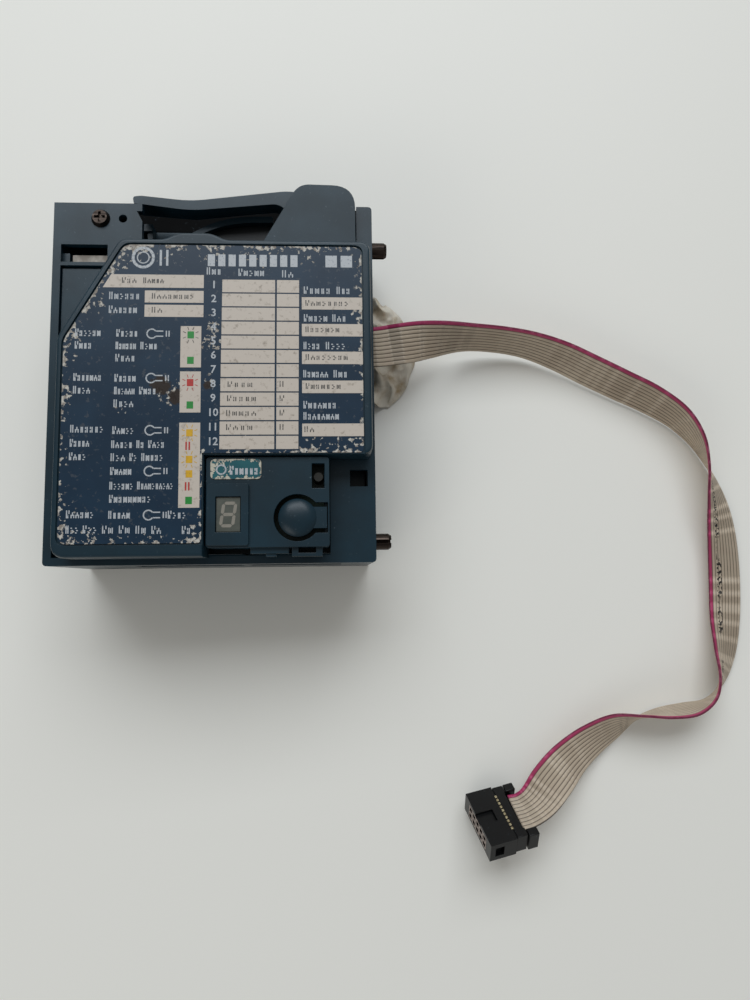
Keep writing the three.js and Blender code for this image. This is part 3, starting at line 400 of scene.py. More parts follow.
# %% Ink on white film
def scorched(material, tone, ragged, places):
    """Brown heat marks round places given as x, y and radius in millimetres."""
    spot = put(material, "ShaderNodeTexCoord").outputs["Object"]
    for x, y, radius in places:
        away = put(material, "ShaderNodeVectorMath", {0: spot}, operation="DISTANCE")
        away.inputs[1].default_value = (x * MM, y * MM, LABEL_TOP)
        near = ramp_of(material, away.outputs["Value"], radius * MM, 0.0)
        share = put(material, "ShaderNodeMath", {0: near, 1: ragged}, operation="ADD").outputs[0]
        tone = blend_of(material, ramp_of(material, share, 0.82, 1.0), tone, "#2b2018")
    return tone


def chipped_ink(name, ink, second, stock, chip_mm, roughness=0.34, scorch=()):
    """Printed film: ink with faint scratches, white stock where the wear beats the noise."""
    material, shader = new_material(name, ink, IOR=1.5, Specular_IOR_Level=0.35)
    worn = put(material, "ShaderNodeAttribute", attribute_name="wear").outputs["Fac"]
    ragged = noise_of(material, chip_mm, detail=4, roughness=0.58)
    spread = ramp_of(material, ragged, 0.36, 0.64)
    excess = put(material, "ShaderNodeMath", {0: worn, 1: spread}, operation="SUBTRACT").outputs[0]
    bare = ramp_of(material, excess, 0.0, 0.03)
    fringe = ramp_of(material, excess, -0.09, 0.0)
    tone = blend_of(material, ramp_of(material, noise_of(material, 11), 0.35, 0.7), ink, second)
    scratches = ramp_of(material, noise_of(material, 3, detail=8, roughness=0.75, stretch=(0.15, 1.6, 1)),
                        0.69, 0.72)
    scratched = blend_of(material, scratches, tone, "#5f6b76")
    edged = blend_of(material, fringe, scratched, "#39424d")
    dirty = blend_of(material, ramp_of(material, noise_of(material, 0.9), 0.42, 0.62), stock, "#8b8177")
    finish = blend_of(material, bare, edged, dirty)
    if scorch:
        finish = scorched(material, finish, ragged, scorch)
    wire(material, finish, shader.inputs["Base Color"])
    gloss = put(material, "ShaderNodeMapRange", {"Value": bare})
    gloss.inputs["To Min"].default_value = roughness
    gloss.inputs["To Max"].default_value = 0.7
    wire(material, gloss.outputs["Result"], shader.inputs["Roughness"])
    bump_of(material, shader, bare, -0.03)
    return material


NAVY_FILM = chipped_ink("polyester_film_navy_printed", "#10293d", "#163146", "#c9c4ba", 1.3,
                        scorch=[(-12.2, -4.2, 4.2), (-8.2, -7.2, 3.2), (0.2, -4.2, 2)])
TEAL_FILM = chipped_ink("polyester_film_teal_printed", "#1c4f58", "#2a666c", "#c4bfae", 0.9)
LABEL_WEAR = [
    (-19, 33.5, 6, 0.55), (-9, 34, 5, 0.35), (2, 34, 6, 0.3), (14, 33.5, 6, 0.35), (26, 33, 4, 0.3),
    (-25, 27, 4, 0.35), (-30, 18, 4, 0.3), (-35, 10, 4, 0.5), (-36.5, 3, 3, 0.4), (-37, -8, 3, 0.35),
    (-37, -37, 4, 0.4), (-36, -43, 3.5, 0.5), (-28, -44, 4, 0.25), (-14, -44.5, 3, 0.3), (-3, -43, 3, 0.35),
    (-1.5, -25, 3, 0.45), (8, -22, 5, 0.35), (28, -21.5, 4, 0.42), (36, -21.3, 5, 0.45), (40.5, -17, 3, 0.4),
    (40.8, 16, 3.5, 0.55), (40.5, 3, 2.5, 0.4), (41, 30, 3, 0.35), (1.5, 8, 4.5, 0.5), (1.5, 12, 3, 0.4),
    (-5, -4, 3.4, 0.42), (-9.5, -6.5, 5, 0.46), (-22, -11, 2, 0.35), (1, -3.5, 2.2, 0.4),
]
label = worn_film("front_label", NAVY_FILM, LABEL_WEAR, 1.3, 0.41)
sticker = worn_film("panel_sticker", TEAL_FILM, [(2.5, -25, 2.6, 0.5), (13.5, -29, 2, 0.5), (5, -26, 2, 0.3)],
                    0.9, 0.85, fineness_mm=0.35)
print("label faces:", len(label.data.polygons), "sticker faces:", len(sticker.data.polygons))

# %% [markdown]
# ## Print on the label
# Fields, table lines, word-like marks and coloured lamps are printed on top of the blue. Each ink is
# one thin mesh a few hundredths of a millimetre proud of the film. Lines of small broken strokes,
# which are no letters, stand where words would be. Only the table's rows are numbered.


# %% Inks and strokes
def ink(name, colour, second, size_mm=2.0, low=0.5, high=0.72):
    material, shader = new_material(name, colour, Roughness=0.4, IOR=1.5)
    smudge = ramp_of(material, noise_of(material, size_mm, detail=6, roughness=0.7), low, high)
    wire(material, blend_of(material, smudge, colour, second), shader.inputs["Base Color"])
    return material


INKS = {
    "field": ink("screen_ink_white", "#cbbfb2", "#948778", 1.6, 0.55, 0.72),
    "word": ink("screen_ink_light", "#b9bcbf", "#6f7a86", 0.7, 0.56, 0.66),
    "entry": ink("screen_ink_black", "#3a3733", "#a39d95", 0.7, 0.52, 0.64),
    "green": ink("screen_ink_green", "#1f8a34", "#2b6b35", 0.8),
    "yellow": ink("screen_ink_yellow", "#d9a81c", "#b08a2a", 0.8),
    "red": ink("screen_ink_red", "#b8322a", "#8f3a35", 0.8),
}
PRINT = {name: bmesh.new() for name in INKS}


def patch(colour, points, lift_mm=0.03, thick_mm=0.03, top=LABEL_TOP):
    """A flat printed patch with the given corners in millimetres, anticlockwise."""
    shape = PRINT[colour]
    base = top + (lift_mm - thick_mm) * MM
    face = shape.faces.new([shape.verts.new((x * MM, y * MM, base)) for x, y in points])
    made = bmesh.ops.extrude_face_region(shape, geom=[face], use_keep_orig=True)
    lifted = [v for v in made["geom"] if isinstance(v, bmesh.types.BMVert)]
    bmesh.ops.translate(shape, verts=lifted, vec=(0, 0, thick_mm * MM))


def bar(colour, x0, y0, x1, y1, lift_mm=0.03, top=LABEL_TOP):
    patch(colour, [(x0, y0), (x1, y0), (x1, y1), (x0, y1)], lift_mm, top=top)


def stroke(colour, a, b, width, lift_mm=0.03, top=LABEL_TOP):
    """A straight stroke of one width from a to b."""
    way = Vector((b[0] - a[0], b[1] - a[1])).normalized() * width / 2
    side = Vector((-way.y, way.x))
    corners = [(a[0] - side.x, a[1] - side.y), (b[0] - side.x, b[1] - side.y),
               (b[0] + side.x, b[1] + side.y), (a[0] + side.x, a[1] + side.y)]
    patch(colour, corners, lift_mm, top=top)


def hoop(colour, x, y, radius, width, lift_mm=0.03, start=0, turn=360, top=LABEL_TOP):
    """Part of a ring, as short strokes."""
    steps = max(6, round(turn / 24))
    angles = [math.radians(start + turn * i / steps) for i in range(steps + 1)]
    points = [(x + radius * math.cos(a), y + radius * math.sin(a)) for a in angles]
    for a, b in zip(points, points[1:]):
        stroke(colour, a, b, width, lift_mm, top=top)


STROKES = [  # marks that are no letters, as strokes in a box one wide and one high
    [(0.1, 0, 0.1, 0.4), (0.1, 0.6, 0.1, 1), (0.6, 0, 0.6, 1)],
    [(0.05, 0, 0.05, 1), (0.45, 0.1, 0.45, 0.9), (0.85, 0, 0.85, 1)],
    [(0.05, 0, 0.05, 0.6), (0.45, 0.4, 0.45, 1), (0.85, 0, 0.85, 0.6)],
    [(0, 0.1, 0.5, 0.1), (0.35, 0.5, 0.85, 0.5), (0, 0.9, 0.5, 0.9)],
    [(0.25, 0, 0.25, 1), (0.65, 0, 0.65, 1)],
    [(0.1, 0, 0.1, 1.35), (0.5, 0, 0.5, 0.6), (0.85, 0.75, 0.85, 1.35)],
    [(0.1, 0, 0.1, 1.35), (0.7, 0, 0.7, 1.35)],
]
typesetter = random.Random(7)


def word(colour, x, y, width, letters, size=1.25, weight=0.24, lift_mm=0.03, top=LABEL_TOP):
    """A line of marks from x, centred on y, that fills the width."""
    step = width / letters
    for place in range(letters):
        tall = place == 0
        mark = typesetter.choice(STROKES[5:] if tall else STROKES[:5])
        for ax, ay, bx, by in mark:
            a = (x + (place + ax * 0.68) * step, y + (ay - 0.5) * size)
            b = (x + (place + bx * 0.68) * step, y + (by - 0.5) * size)
            stroke(colour, a, b, weight, lift_mm, top=top)


def number(colour, text, x, y, size, lift_mm=0.03):
    """Plain digits, set as text and then made a thin mesh."""
    face = bpy.data.curves.new("digits", "FONT")
    face.body = text
    face.size = size * MM
    face.align_x, face.align_y = "CENTER", "CENTER"
    face.extrude = 0.015 * MM
    face.offset = 0.05 * MM
    face.resolution_u = 2
    holder = bpy.data.objects.new("digits", face)
    bpy.context.collection.objects.link(holder)
    flat = bpy.data.meshes.new_from_object(holder)
    flat.transform(Matrix.Translation((x * MM, y * MM, LABEL_TOP + (lift_mm - 0.015) * MM)))
    PRINT[colour].from_mesh(flat)
    bpy.data.objects.remove(holder)


print("marks to print with:", len(STROKES))

# %% Fields and table
patch("field", [(-27.6, 22.3), (-1.2, 22.3), (-1.2, 25.9), (-25.5, 25.9)])
bar("field", -16.6, 18.2, -1.2, 21.5)
bar("field", -16.6, 14.3, -1.2, 17.6)
ROW_PITCH = 3.86
for row in range(12):
    top_of_row = 24.7 - row * ROW_PITCH
    skew = -0.02 * row
    bar("field", 3.7 + skew * 2, top_of_row - 3.5, 17.7 + skew, top_of_row)
    bar("field", 18.2 + skew, top_of_row - 3.5, 24.1 + skew * 1.5, top_of_row)
    number("word", str(row + 1), 1.5, top_of_row - 1.5, 2.9)
for low_y in (16.6, 9.2, 1.6, -6.3, -17.9):
    bar("field", 24.8, low_y, 41.0, low_y + 3.4)
for high_y, low_y in ((11.8, 0.6), (-0.5, -11.5), (-14.2, -36.5)):
    bar("field", -7.1, low_y, -1.7, high_y)
print("fields and table rows printed")

# %% Words beside the fields
LINES = [  # x, y, width, letters of each word-like line
    (-25.8, 19.9, 8.3, 6), (-25.8, 16.1, 7.6, 6), (-34.3, 9.8, 6.8, 6), (-23.7, 9.7, 5.8, 5),
    (-34.3, 6.4, 4.6, 4), (-23.8, 6.3, 5.4, 6), (-17.4, 6.3, 4.6, 4), (-23.8, 3.0, 5.4, 4),
    (-34.4, -2.2, 7.4, 7), (-23.9, -2.4, 5.7, 5), (-34.4, -5.6, 4.6, 4), (-23.9, -5.8, 5.4, 6),
    (-17.5, -5.8, 4.6, 4), (-24, -9.2, 5.4, 4), (-34.8, -15.9, 8.7, 7), (-24.1, -16.3, 5.7, 5),
    (-34.8, -19.6, 5.1, 5), (-24.3, -20, 5.6, 5), (-17.9, -20, 2.2, 2), (-14.9, -20, 4.4, 4),
    (-34.9, -23.1, 4.5, 4), (-24.4, -23.4, 4, 3), (-19.6, -23.4, 2.1, 2), (-16.6, -23.4, 5.8, 5),
    (-24.4, -27, 5.6, 5), (-24.5, -30.8, 6.2, 6), (-17.5, -30.8, 9.3, 10), (-24.5, -34.2, 10.8, 9),
    (-35.2, -38.1, 7.2, 6), (-24.6, -38.3, 5.7, 5), (-9.6, -38.4, 4.9, 4), (-35.2, -42, 3.5, 3),
    (-30.9, -42, 3.8, 3), (-26.1, -42.1, 3.2, 2), (-21.9, -42.1, 3.2, 2), (-17.7, -42.2, 3, 2),
    (-13.7, -42.3, 2.8, 2), (-6, -42.4, 2.6, 2), (25.4, 21.8, 7.6, 5), (34.2, 21.8, 4, 3),
    (25.4, 14.1, 6.6, 5), (33, 14.1, 4, 3), (25.3, 6.5, 4.6, 4), (31.2, 6.5, 5.6, 4),
    (25.2, -1.2, 6.8, 6), (33.2, -1.2, 4, 3), (25.2, -9.6, 9, 7), (25.2, -12.6, 9.6, 8),
    (-0.4, 26.9, 4.2, 3), (8, 26.6, 7.2, 5), (19.6, 26.3, 3.5, 2),
]
for x, y, width, letters in LINES:
    word("word", x, y - 0.1, width, letters, 1.5, 0.3)
for y in (9.6, -2.4, -16.3, -27, -38.4):  # a push button seen from above, with its flap
    hoop("word", -14.6, y + 0.1, 1.25, 0.36, start=35, turn=290)
    for edge in (0.8, -0.6):
        stroke("word", (-13.5, y + edge), (-11.6, y + edge), 0.32)
    for x in (-10.8, -10.1):
        stroke("word", (x, y - 0.7), (x, y + 0.9), 0.32)
print("lines of words:", len(LINES))

# %% Title, emblem and entries
for place in range(9):
    left = -0.2 + place * 2.75
    bar("word", left, 28.4, left + 1.9, 31.7)
for left in (31.2, 35.3):
    bar("word", left, 28.4, left + 3.1, 31.7)
hoop("word", -17.2, 30.6, 2.7, 0.75)
hoop("word", -17.2, 30.6, 1.55, 0.3)
stroke("word", (-12.6, 32.8), (-12.6, 28.4), 0.6)
stroke("word", (-10.9, 32.8), (-10.9, 28.4), 0.6)
for x, y, width, letters in ((-22.6, 24.1, 4.2, 3), (-17, 24.1, 5.6, 5), (-14.7, 19.8, 11.4, 8),
                             (25.8, 18.2, 12, 8), (25.8, 10.9, 9.4, 7), (25.8, 3.3, 11.6, 8),
                             (25.8, -4.6, 9.6, 7), (25.4, -16.2, 3, 2), (5.3, -4.1, 7, 4),
                             (5.2, -7.9, 8, 5), (5, -11.8, 8.3, 5), (5, -15.6, 7.4, 4)):
    word("entry", x, y, width, letters, 1.15, 0.26, 0.06)
word("entry", -14.7, 16, 3.2, 2, 1.15, 0.26, 0.06)
for row in range(7, 11):
    word("entry", 18.9, 24.7 - row * ROW_PITCH - 1.7, 1.8, 1, 1.15, 0.26, 0.06)
print("entries printed")


# %% Coloured lamp marks
def lamp_mark(colour, x, y, rays):
    bar(colour, x - 0.85, y - 0.95, x + 0.85, y + 0.95, 0.07)
    for k in range(8 if rays else 0):
        angle = math.radians(22.5 + 45 * k)
        a = (x + 1.35 * math.cos(angle), y + 1.45 * math.sin(angle))
        b = (x + 2.15 * math.cos(angle), y + 2.35 * math.sin(angle))
        stroke("entry" if colour == "green" else colour, a, b, 0.16, 0.07)


for colour, y, rays in (("green", 9.4, True), ("green", 2.5, False), ("red", -3.5, True),
                        ("green", -9.5, False), ("yellow", -16.9, True), ("yellow", -23.9, True),
                        ("yellow", -27.7, False), ("green", -34.6, False)):
    lamp_mark(colour, -4.45, y, rays)
for y in (-20.6, -31.2):
    word("red", -5.4, y, 2, 1, 1.6, 0.4, 0.07)
STICKER_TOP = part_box("panel_sticker")[1][2]
hoop("word", 3.6, -26.4, 1.2, 0.4, top=STICKER_TOP)
word("word", 5.9, -26.9, 7.7, 6, 1.7, 0.36, top=STICKER_TOP)
for name, shape in PRINT.items():
    bmesh.ops.recalc_face_normals(shape, faces=shape.faces)
    count = len(shape.faces)
    from_bmesh("print_" + name, shape, INKS[name], "housing", smooth=False)
    print("ink", name, "faces:", count)

# %% [markdown]
# ## Display digit
# The one-digit display is a grey face with seven leaning light guides cast into it, unlit. The face
# sits just below the bezel, so each guide is a thin six-sided patch on it, and the lean is 8 degrees.

# %% Seven-segment face
DIGIT_FACE, digit_shader = new_material("epoxy_grey_cast", "#555850", Roughness=0.28, IOR=1.53)
GUIDE = ink("epoxy_diffuse_light_guide", "#8d877c", "#7c776d", 1.2)
face_low, face_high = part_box("display_module")
digit_x, digit_y = (face_low[0] + face_high[0]) / 2 / MM, (face_low[1] + face_high[1]) / 2 / MM
frame["nodes"]["display_module"].data.materials[0] = DIGIT_FACE
blotch = noise_of(DIGIT_FACE, 2.5)
wire(DIGIT_FACE, blend_of(DIGIT_FACE, ramp_of(DIGIT_FACE, blotch, 0.35, 0.7), "#50534c", "#5e6058"),
     digit_shader.inputs["Base Color"])
PRINT["guide"] = bmesh.new()


def light_guide(ax, ay, bx, by):
    """One leaning segment with pointed ends between two corners of the digit."""
    a, b = Vector((ax, ay)), Vector((bx, by))
    way = (b - a).normalized()
    side = Vector((-way.y, way.x)) * 0.42
    ends = [a + way * 0.12, a + way * 0.5 - side, b - way * 0.5 - side, b - way * 0.12,
            b - way * 0.5 + side, a + way * 0.5 + side]
    lean = math.tan(math.radians(8))
    patch("guide", [(digit_x + p.x + p.y * lean, digit_y + p.y) for p in ends], top=face_high[2])


HALF_W, HALF_H = 1.55, 2.95
for ax, ay, bx, by in ((-1, 1, 1, 1), (-1, 0, 1, 0), (-1, -1, 1, -1), (-1, 0, -1, 1), (1, 0, 1, 1),
                       (-1, -1, -1, 0), (1, -1, 1, 0)):
    light_guide(ax * HALF_W, ay * HALF_H, bx * HALF_W, by * HALF_H)
bmesh.ops.recalc_face_normals(PRINT["guide"], faces=PRINT["guide"].faces)
from_bmesh("display_light_guides", PRINT["guide"], GUIDE, "housing", smooth=False)
print("display digit:", 7, "segments")

# %% [markdown]
# ## Crumpled tape
# A wad of cream masking tape is stuck to the side under the cable. It is one sheet, so it is made
# as a fine grid laid against the wall and let down on to the table, with sharp folds from ridged
# noise, and then given the tape's own thickness.

# %% Tape patch
from mathutils import noise

TAPE, tape_shader = new_material("crepe_paper_tape", "#ddd5c6", Roughness=0.75)
old = ramp_of(TAPE, noise_of(TAPE, 5, detail=5), 0.46, 0.72)
creped = noise_of(TAPE, 0.5, detail=2, stretch=(1, 0.25, 1))
wire(TAPE, blend_of(TAPE, old, "#ddd5c6", "#a38a62"), tape_shader.inputs["Base Color"])
bump_of(TAPE, tape_shader, creped, 0.08)
tape_low, tape_high = (Vector(corner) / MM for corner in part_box("tape_patch"))


def tape_point(u, v):
    """A point of the tape in mm: u from the wall outwards, v along the wall."""
    bulge = math.sin(math.pi * (0.06 + 0.88 * v)) ** 0.55
    ragged = 1 + 0.1 * noise.noise(Vector((v * 5, 3.1, 0)))
    x = tape_low.x + 0.2 + u * (tape_high.x - tape_low.x) * bulge * ragged
    y = tape_low.y + v * (tape_high.y - tape_low.y) + 1.2 * noise.noise(Vector((u * 2, v * 2, 5)))
    seat = Vector((x * 0.16, y * 0.11, 0.3))
    ridges = 1 - abs(noise.noise(seat)) * 2.2 - 0.5 * abs(noise.noise(seat * 2.3 + Vector((4, 1, 2))))
    slope = (1 - u) ** 1.4
    z = 0.6 + 8.0 * slope * (0.55 + 0.45 * ridges) + 2.8 * max(ridges, 0) * math.sin(math.pi * u) ** 0.5
    return Vector((x, y, max(z, 0.35))) * MM


tape_shape = bmesh.new()
bmesh.ops.create_grid(tape_shape, x_segments=44, y_segments=80, size=0.5)
for vert in tape_shape.verts:
    vert.co = tape_point(vert.co.x + 0.5, vert.co.y + 0.5)
tape_area = sum(face.calc_area() for face in tape_shape.faces)
tape = from_bmesh("tape_patch_crumpled", tape_shape, TAPE, BODY_OF["tape_patch"])
film = tape.modifiers.new("film", "SOLIDIFY")
film.thickness = 0.2 * MM
apply_modifiers(tape)
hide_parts("tape_patch")
print("tape:", round(tape_area * 1e6), "square mm")

# %% [markdown]
# ## The ribbon cable
# Ten wires in PVC, side by side at 1.27 mm, make a strip that bends easily one way and not at all
# the other. So it rolls on to its edge wherever its run turns across the table. The section of
# ten round humps is drawn once, pulled out straight, and then every point is laid on the route.

# %% Route of the cable, repeated from the engineering model in millimetres and degrees
RIBBON_ROUTE = [
    (37.9, 17, 16, 0), (46.6, 17.2, 16, 2), (54.2, 18.4, 15.5, 12), (64, 20.5, 13.2, 40),
    (75.9, 22.3, 10.4, 64), (87.8, 22.2, 8.6, 68), (98, 20.7, 7.5, 66), (108.2, 17.3, 6.8, 60),
    (118.3, 12.5, 6.4, 57), (128.2, 7.7, 6.3, 58), (138.1, 2.8, 6.4, 62), (147, -3.4, 6.8, 74),
    (152.8, -11, 7, 92), (156.1, -19.3, 6.7, 113), (158.3, -27.5, 5.8, 135), (160.2, -36.4, 4.4, 152),
    (161.2, -46, 3.4, 161), (161.2, -58, 3.1, 164), (160.4, -69.5, 3.4, 161), (158.9, -80, 4.8, 146),
    (156.5, -88.4, 6.2, 125), (152.2, -94.4, 7, 104), (145.5, -97.4, 7.1, 84), (137.3, -98.6, 7.1, 86),
    (129.3, -99.7, 6.9, 104), (121.2, -102.3, 5.9, 138), (113.5, -106.6, 5.4, 156),
    (106, -111.9, 6.6, 174), (99.6, -117.8, 8.6, 200), (94.2, -123.4, 10, 226),
    (90.2, -125.6, 10.6, 233.5), (87.2, -126.1, 11.1, 233.5),
]
RIBBON_W = 12.7 * MM
WIRES = 10
PITCH = RIBBON_W / WIRES
route = [Vector(point[:3]) * MM for point in RIBBON_ROUTE]


def on_route(t):
    """The point at t from 0 to 1 on a centripetal Catmull-Rom curve through the route."""
    reach = min(t * (len(route) - 1), len(route) - 1 - 1e-9)
    k = int(reach)
    w = reach - k
    p1, p2 = route[k], route[k + 1]
    p0 = route[k - 1] if k else p1 * 2 - p2
    p3 = route[k + 2] if k + 2 < len(route) else p2 * 2 - p1
    d0, d1, d2 = ((b - a).length ** 0.5 for a, b in ((p0, p1), (p1, p2), (p2, p3)))
    m1 = ((p1 - p0) / d0 - (p2 - p0) / (d0 + d1) + (p2 - p1) / d1) * d1
    m2 = ((p2 - p1) / d1 - (p3 - p1) / (d1 + d2) + (p3 - p2) / d2) * d1
    return (p1 * (2 * w ** 3 - 3 * w ** 2 + 1) + m1 * (w ** 3 - 2 * w ** 2 + w)
            + p2 * (3 * w ** 2 - 2 * w ** 3) + m2 * (w ** 3 - w ** 2))


def route_axes(t):
    """Point, direction, way across (towards the first wire) and way out of the face at t."""
    here = on_route(t)
    along = (on_route(min(t + 0.01, 1)) - on_route(max(t - 0.01, 0))).normalized()
    left = Vector((0, 0, 1)).cross(along).normalized()
    over = along.cross(left)
    reach = t * (len(route) - 1)
    k = min(int(reach), len(route) - 2)
    w = reach - k
    rolls = [RIBBON_ROUTE[min(max(k + i, 0), len(route) - 1)][3] for i in (-1, 0, 1, 2)]
    bend_in, bend_out = (rolls[2] - rolls[0]) / 2, (rolls[3] - rolls[1]) / 2
    roll = math.radians(rolls[1] * (2 * w ** 3 - 3 * w ** 2 + 1) + bend_in * (w ** 3 - 2 * w ** 2 + w)
                        + rolls[2] * (3 * w ** 2 - 2 * w ** 3) + bend_out * (w ** 3 - w ** 2))
    across = left * math.cos(roll) + over * math.sin(roll)
    return here, along, across, along.cross(across)


def ribbon_section():
    """Points round the strip's section: a row of humps on each face, across from + to -."""
    half_wire = 0.45 * MM
    web = 0.2 * MM
    upper = []
    for wire in range(WIRES):
        middle = RIBBON_W / 2 - PITCH * (wire + 0.5)
        for step in range(5):
            angle = math.pi * step / 5
            across = middle + PITCH / 2 * math.cos(angle)
            upper.append((across, web + (half_wire - web) * math.sin(angle)))
    upper.append((-RIBBON_W / 2, web))
    lower = [(a, -h) for a, h in reversed(upper)]
    return upper + lower


STATIONS = 260


def make_ribbon():
    shape = bmesh.new()
    section = ribbon_section()
    ring = [shape.verts.new((0, a, h)) for a, h in section]
    start = shape.faces.new(ring)
    uv = shape.loops.layers.uv.new("route")
    front = start
    for _ in range(STATIONS):
        made = bmesh.ops.extrude_face_region(shape, geom=[front], use_keep_orig=(front is start))
        front = next(g for g in made["geom"] if isinstance(g, bmesh.types.BMFace))
        bmesh.ops.translate(shape, verts=list(front.verts), vec=(1 / STATIONS, 0, 0))
    bmesh.ops.recalc_face_normals(shape, faces=shape.faces)
    for face in shape.faces:
        for loop in face.loops:
            loop[uv].uv = (loop.vert.co.x, 0.5 - loop.vert.co.y / RIBBON_W)
    back = shape.verts.layers.float.new("back")
    axes = {}
    for vert in shape.verts:
        vert[back] = 1.0 if vert.co.z < 0 else 0.0
        t = round(vert.co.x * STATIONS) / STATIONS
        if t not in axes:
            axes[t] = route_axes(t)
        here, _, across, out = axes[t]
        vert.co = here + across * vert.co.y + out * vert.co.z
    return shape


def multiply(material, first, second):
    return put(material, "ShaderNodeMath", {0: first, 1: second}, operation="MULTIPLY").outputs[0]


def ribbon_pvc():
    """Grey PVC with one crimson wire; every wire is darker towards the grooves between the wires."""
    material, shader = new_material("pvc_grey_extruded", "#8d857a", IOR=1.53, Roughness=0.5)
    uv = put(material, "ShaderNodeUVMap", uv_map="route").outputs["UV"]
    split = put(material, "ShaderNodeSeparateXYZ", {"Vector": uv})
    across = split.outputs["Y"]
    wires = put(material, "ShaderNodeMath", operation="MULTIPLY")
    wire(material, across, wires.inputs[0])
    wires.inputs[1].default_value = WIRES
    part = put(material, "ShaderNodeMath", {0: wires.outputs[0]}, operation="FRACT")
    centred = put(material, "ShaderNodeMath", {0: part.outputs[0]}, operation="SUBTRACT")
    centred.inputs[1].default_value = 0.5
    away = put(material, "ShaderNodeMath", {0: centred.outputs[0]}, operation="ABSOLUTE")
    groove = ramp_of(material, away.outputs[0], 0.34, 0.49)
    tone = blend_of(material, ramp_of(material, noise_of(material, 9), 0.3, 0.7), "#bba994", "#cfbea8")
    grey = blend_of(material, groove, tone, "#4d4136")
    red = blend_of(material, groove, "#b53766", "#741f40")
    first = ramp_of(material, wires.outputs[0], 1.001, 0.999)
    coloured = blend_of(material, first, grey, red)
    along = put(material, "ShaderNodeMath", {0: split.outputs["X"]}, operation="MULTIPLY")
    along.inputs[1].default_value = 280
    cells = put(material, "ShaderNodeCombineXYZ", {"X": along.outputs[0], "Y": wires.outputs[0]})
    dots = put(material, "ShaderNodeTexNoise", {"Vector": cells.outputs["Vector"]}, Scale=1.15, Detail=1.0)
    struck = ramp_of(material, dots.outputs["Fac"], 0.5, 0.53)
    row = put(material, "ShaderNodeMath", {0: wires.outputs[0]}, operation="SUBTRACT")
    row.inputs[1].default_value = 3.1
    off_row = put(material, "ShaderNodeMath", {0: row.outputs[0]}, operation="ABSOLUTE")
    in_row = ramp_of(material, off_row.outputs[0], 0.85, 0.75)
    back = put(material, "ShaderNodeAttribute", attribute_name="back").outputs["Fac"]
    words = ramp_of(material, put(material, "ShaderNodeTexNoise", {"Vector": cells.outputs["Vector"]},
                                  Scale=0.09, Detail=0.0).outputs["Fac"], 0.34, 0.42)
    marked = multiply(material, words, ramp_of(material, split.outputs["X"], 0.8, 0.74))
    printed = multiply(material, multiply(material, struck, in_row), multiply(material, back, marked))
    wire(material, blend_of(material, printed, coloured, "#2b2724"), shader.inputs["Base Color"])
    return material


RIBBON_PVC = ribbon_pvc()
ribbon = from_bmesh("ribbon_cable_wires", make_ribbon(), RIBBON_PVC, "housing")
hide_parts("ribbon_cable")

# %% [markdown]
# ## Contacts of the plug
# The plug bites through the ribbon: between its body and its cover the cut ends of ten contacts
# show as pale beads, and each square hole on its mating face has a thin rim where the contact
# spring catches the light. The plug leans on the table, so both are made upright and then turned.

# %% Plug contacts
PLUG_ROW = Vector((0.233, -0.564, 0.792)).normalized()
PLUG_DEPTH = Vector((0.97, 0.166, -0.168))
PLUG_DEPTH = (PLUG_DEPTH - PLUG_ROW * PLUG_DEPTH.dot(PLUG_ROW)).normalized()
plug_turn = Matrix((PLUG_ROW, PLUG_DEPTH, PLUG_ROW.cross(PLUG_DEPTH))).transposed().to_4x4()
PLUG_PLACE = Matrix.Translation(Vector((72.9, -121.4, 6.6)) * MM) @ plug_turn


def plug_block(shape, low, high, round_mm=0.0):
    """A block in the plug's own millimetres: along the row, into the depth, out of the top face."""
    size = [(b - a) * MM for a, b in zip(low, high)]
    middle = [(a + b) / 2 * MM for a, b in zip(low, high)]
    place = PLUG_PLACE @ Matrix.Translation(middle) @ Matrix.Diagonal((*size, 1))
    made = bmesh.ops.create_cube(shape, size=1, matrix=place)
    if round_mm:
        edges = {edge for vert in made["verts"] for edge in vert.link_edges}
        bmesh.ops.bevel(shape, geom=list(edges), offset=round_mm * MM, affect="EDGES", segments=2,
                        profile=0.5, material=-1, offset_type="OFFSET")


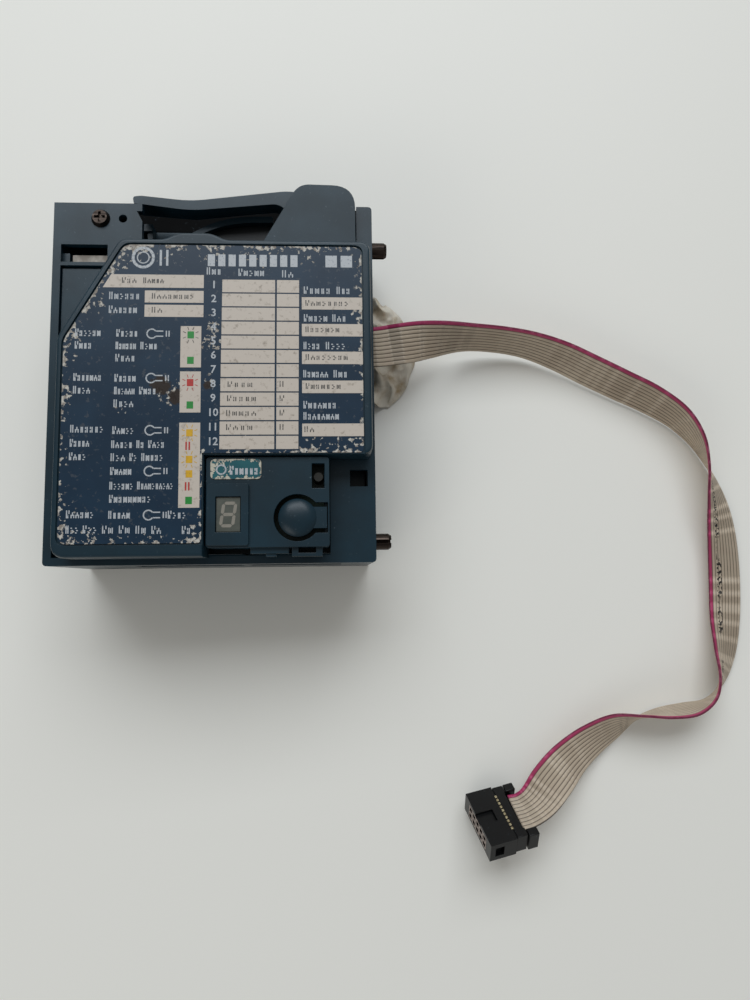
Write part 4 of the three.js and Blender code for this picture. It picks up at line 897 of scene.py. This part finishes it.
TINNED = speckled("phosphor_bronze_tinned", "#c8bb98", "#9b8a68", 0.8, 0.35, Metallic=0.6)
WIRE_END = speckled("copper_tinned_cut", "#c4b2a8", "#9c8b82", 0.8, 0.4, Metallic=0.3)
beads = bmesh.new()
for wire_place in range(WIRES):
    middle = 9.5 + (wire_place - 4.5) * 1.27
    plug_block(beads, (middle - 0.42, 8.0, -0.5), (middle + 0.42, 8.75, 0.22), 0.16)
from_bmesh("plug_contact_beads", beads, TINNED, "housing")
rims = bmesh.new()
for column in range(5):
    for row in (0, 1):
        x, z = 9.5 + (column - 2) * 2.54, -3.4 + (row - 0.5) * 2.54
        for low, high in (((-1.1, -1.1), (1.1, -0.82)), ((-1.1, 0.82), (1.1, 1.1)),
                          ((-1.1, -0.82), (-0.82, 0.82)), ((0.82, -0.82), (1.1, 0.82))):
            plug_block(rims, (x + low[0], -0.05, z + low[1]), (x + high[0], 0.3, z + high[1]))
        plug_block(rims, (x - 0.3, 1.2, z - 0.7), (x + 0.3, 5.5, z - 0.35))
from_bmesh("plug_hole_rims", rims, WIRE_END, "housing", smooth=False)
print("plug contacts:", WIRES, "beads and", 10, "holes")

# %% [markdown]
# ## Table and light
# The table is a pale glossy sheet. A wide window-like light stands beyond the coin mouth, and
# a weak doorway on the near side and the pale room keep the shadows open.

# %% Table and lights
tabletop = bmesh.new()
bmesh.ops.create_grid(tabletop, x_segments=1, y_segments=1, size=1.5)
TABLE, table_shader = new_material("laminate_white_gloss", "#f8f5ed", Roughness=0.5, IOR=1.5)
table_data = bpy.data.meshes.new("tabletop")
tabletop.to_mesh(table_data)
tabletop.free()
table = bpy.data.objects.new("tabletop", table_data)
table.data.materials.append(TABLE)
bpy.context.collection.objects.link(table)


def window_light(name, place, aim, size, power, tint):
    light = bpy.data.lights.new(name, "AREA")
    light.shape = "RECTANGLE"
    light.size, light.size_y = size
    light.energy = power
    light.color = swatch(tint)[:3]
    holder = bpy.data.objects.new(name, light)
    way = Vector(aim) - Vector(place)
    holder.matrix_world = Matrix.Translation(place) @ way.to_track_quat("-Z", "Y").to_matrix().to_4x4()
    bpy.context.collection.objects.link(holder)
    return holder


window_light("window", (-0.1, 1.5, 1.75), (0.06, -0.03, 0), (2.3, 1.25), 38.0, "#eff6fc")
window_light("doorway", (-0.9, -1.2, 1.0), (0.03, -0.05, 0), (1.2, 0.8), 4.0, "#fffdf8")
world = bpy.data.worlds.new("room")
world.use_nodes = True
world.node_tree.nodes["Background"].inputs["Color"].default_value = swatch("#e4e6e6")
world.node_tree.nodes["Background"].inputs["Strength"].default_value = 0.3
bpy.context.scene.world = world
bpy.context.scene.view_settings.view_transform = "Standard"
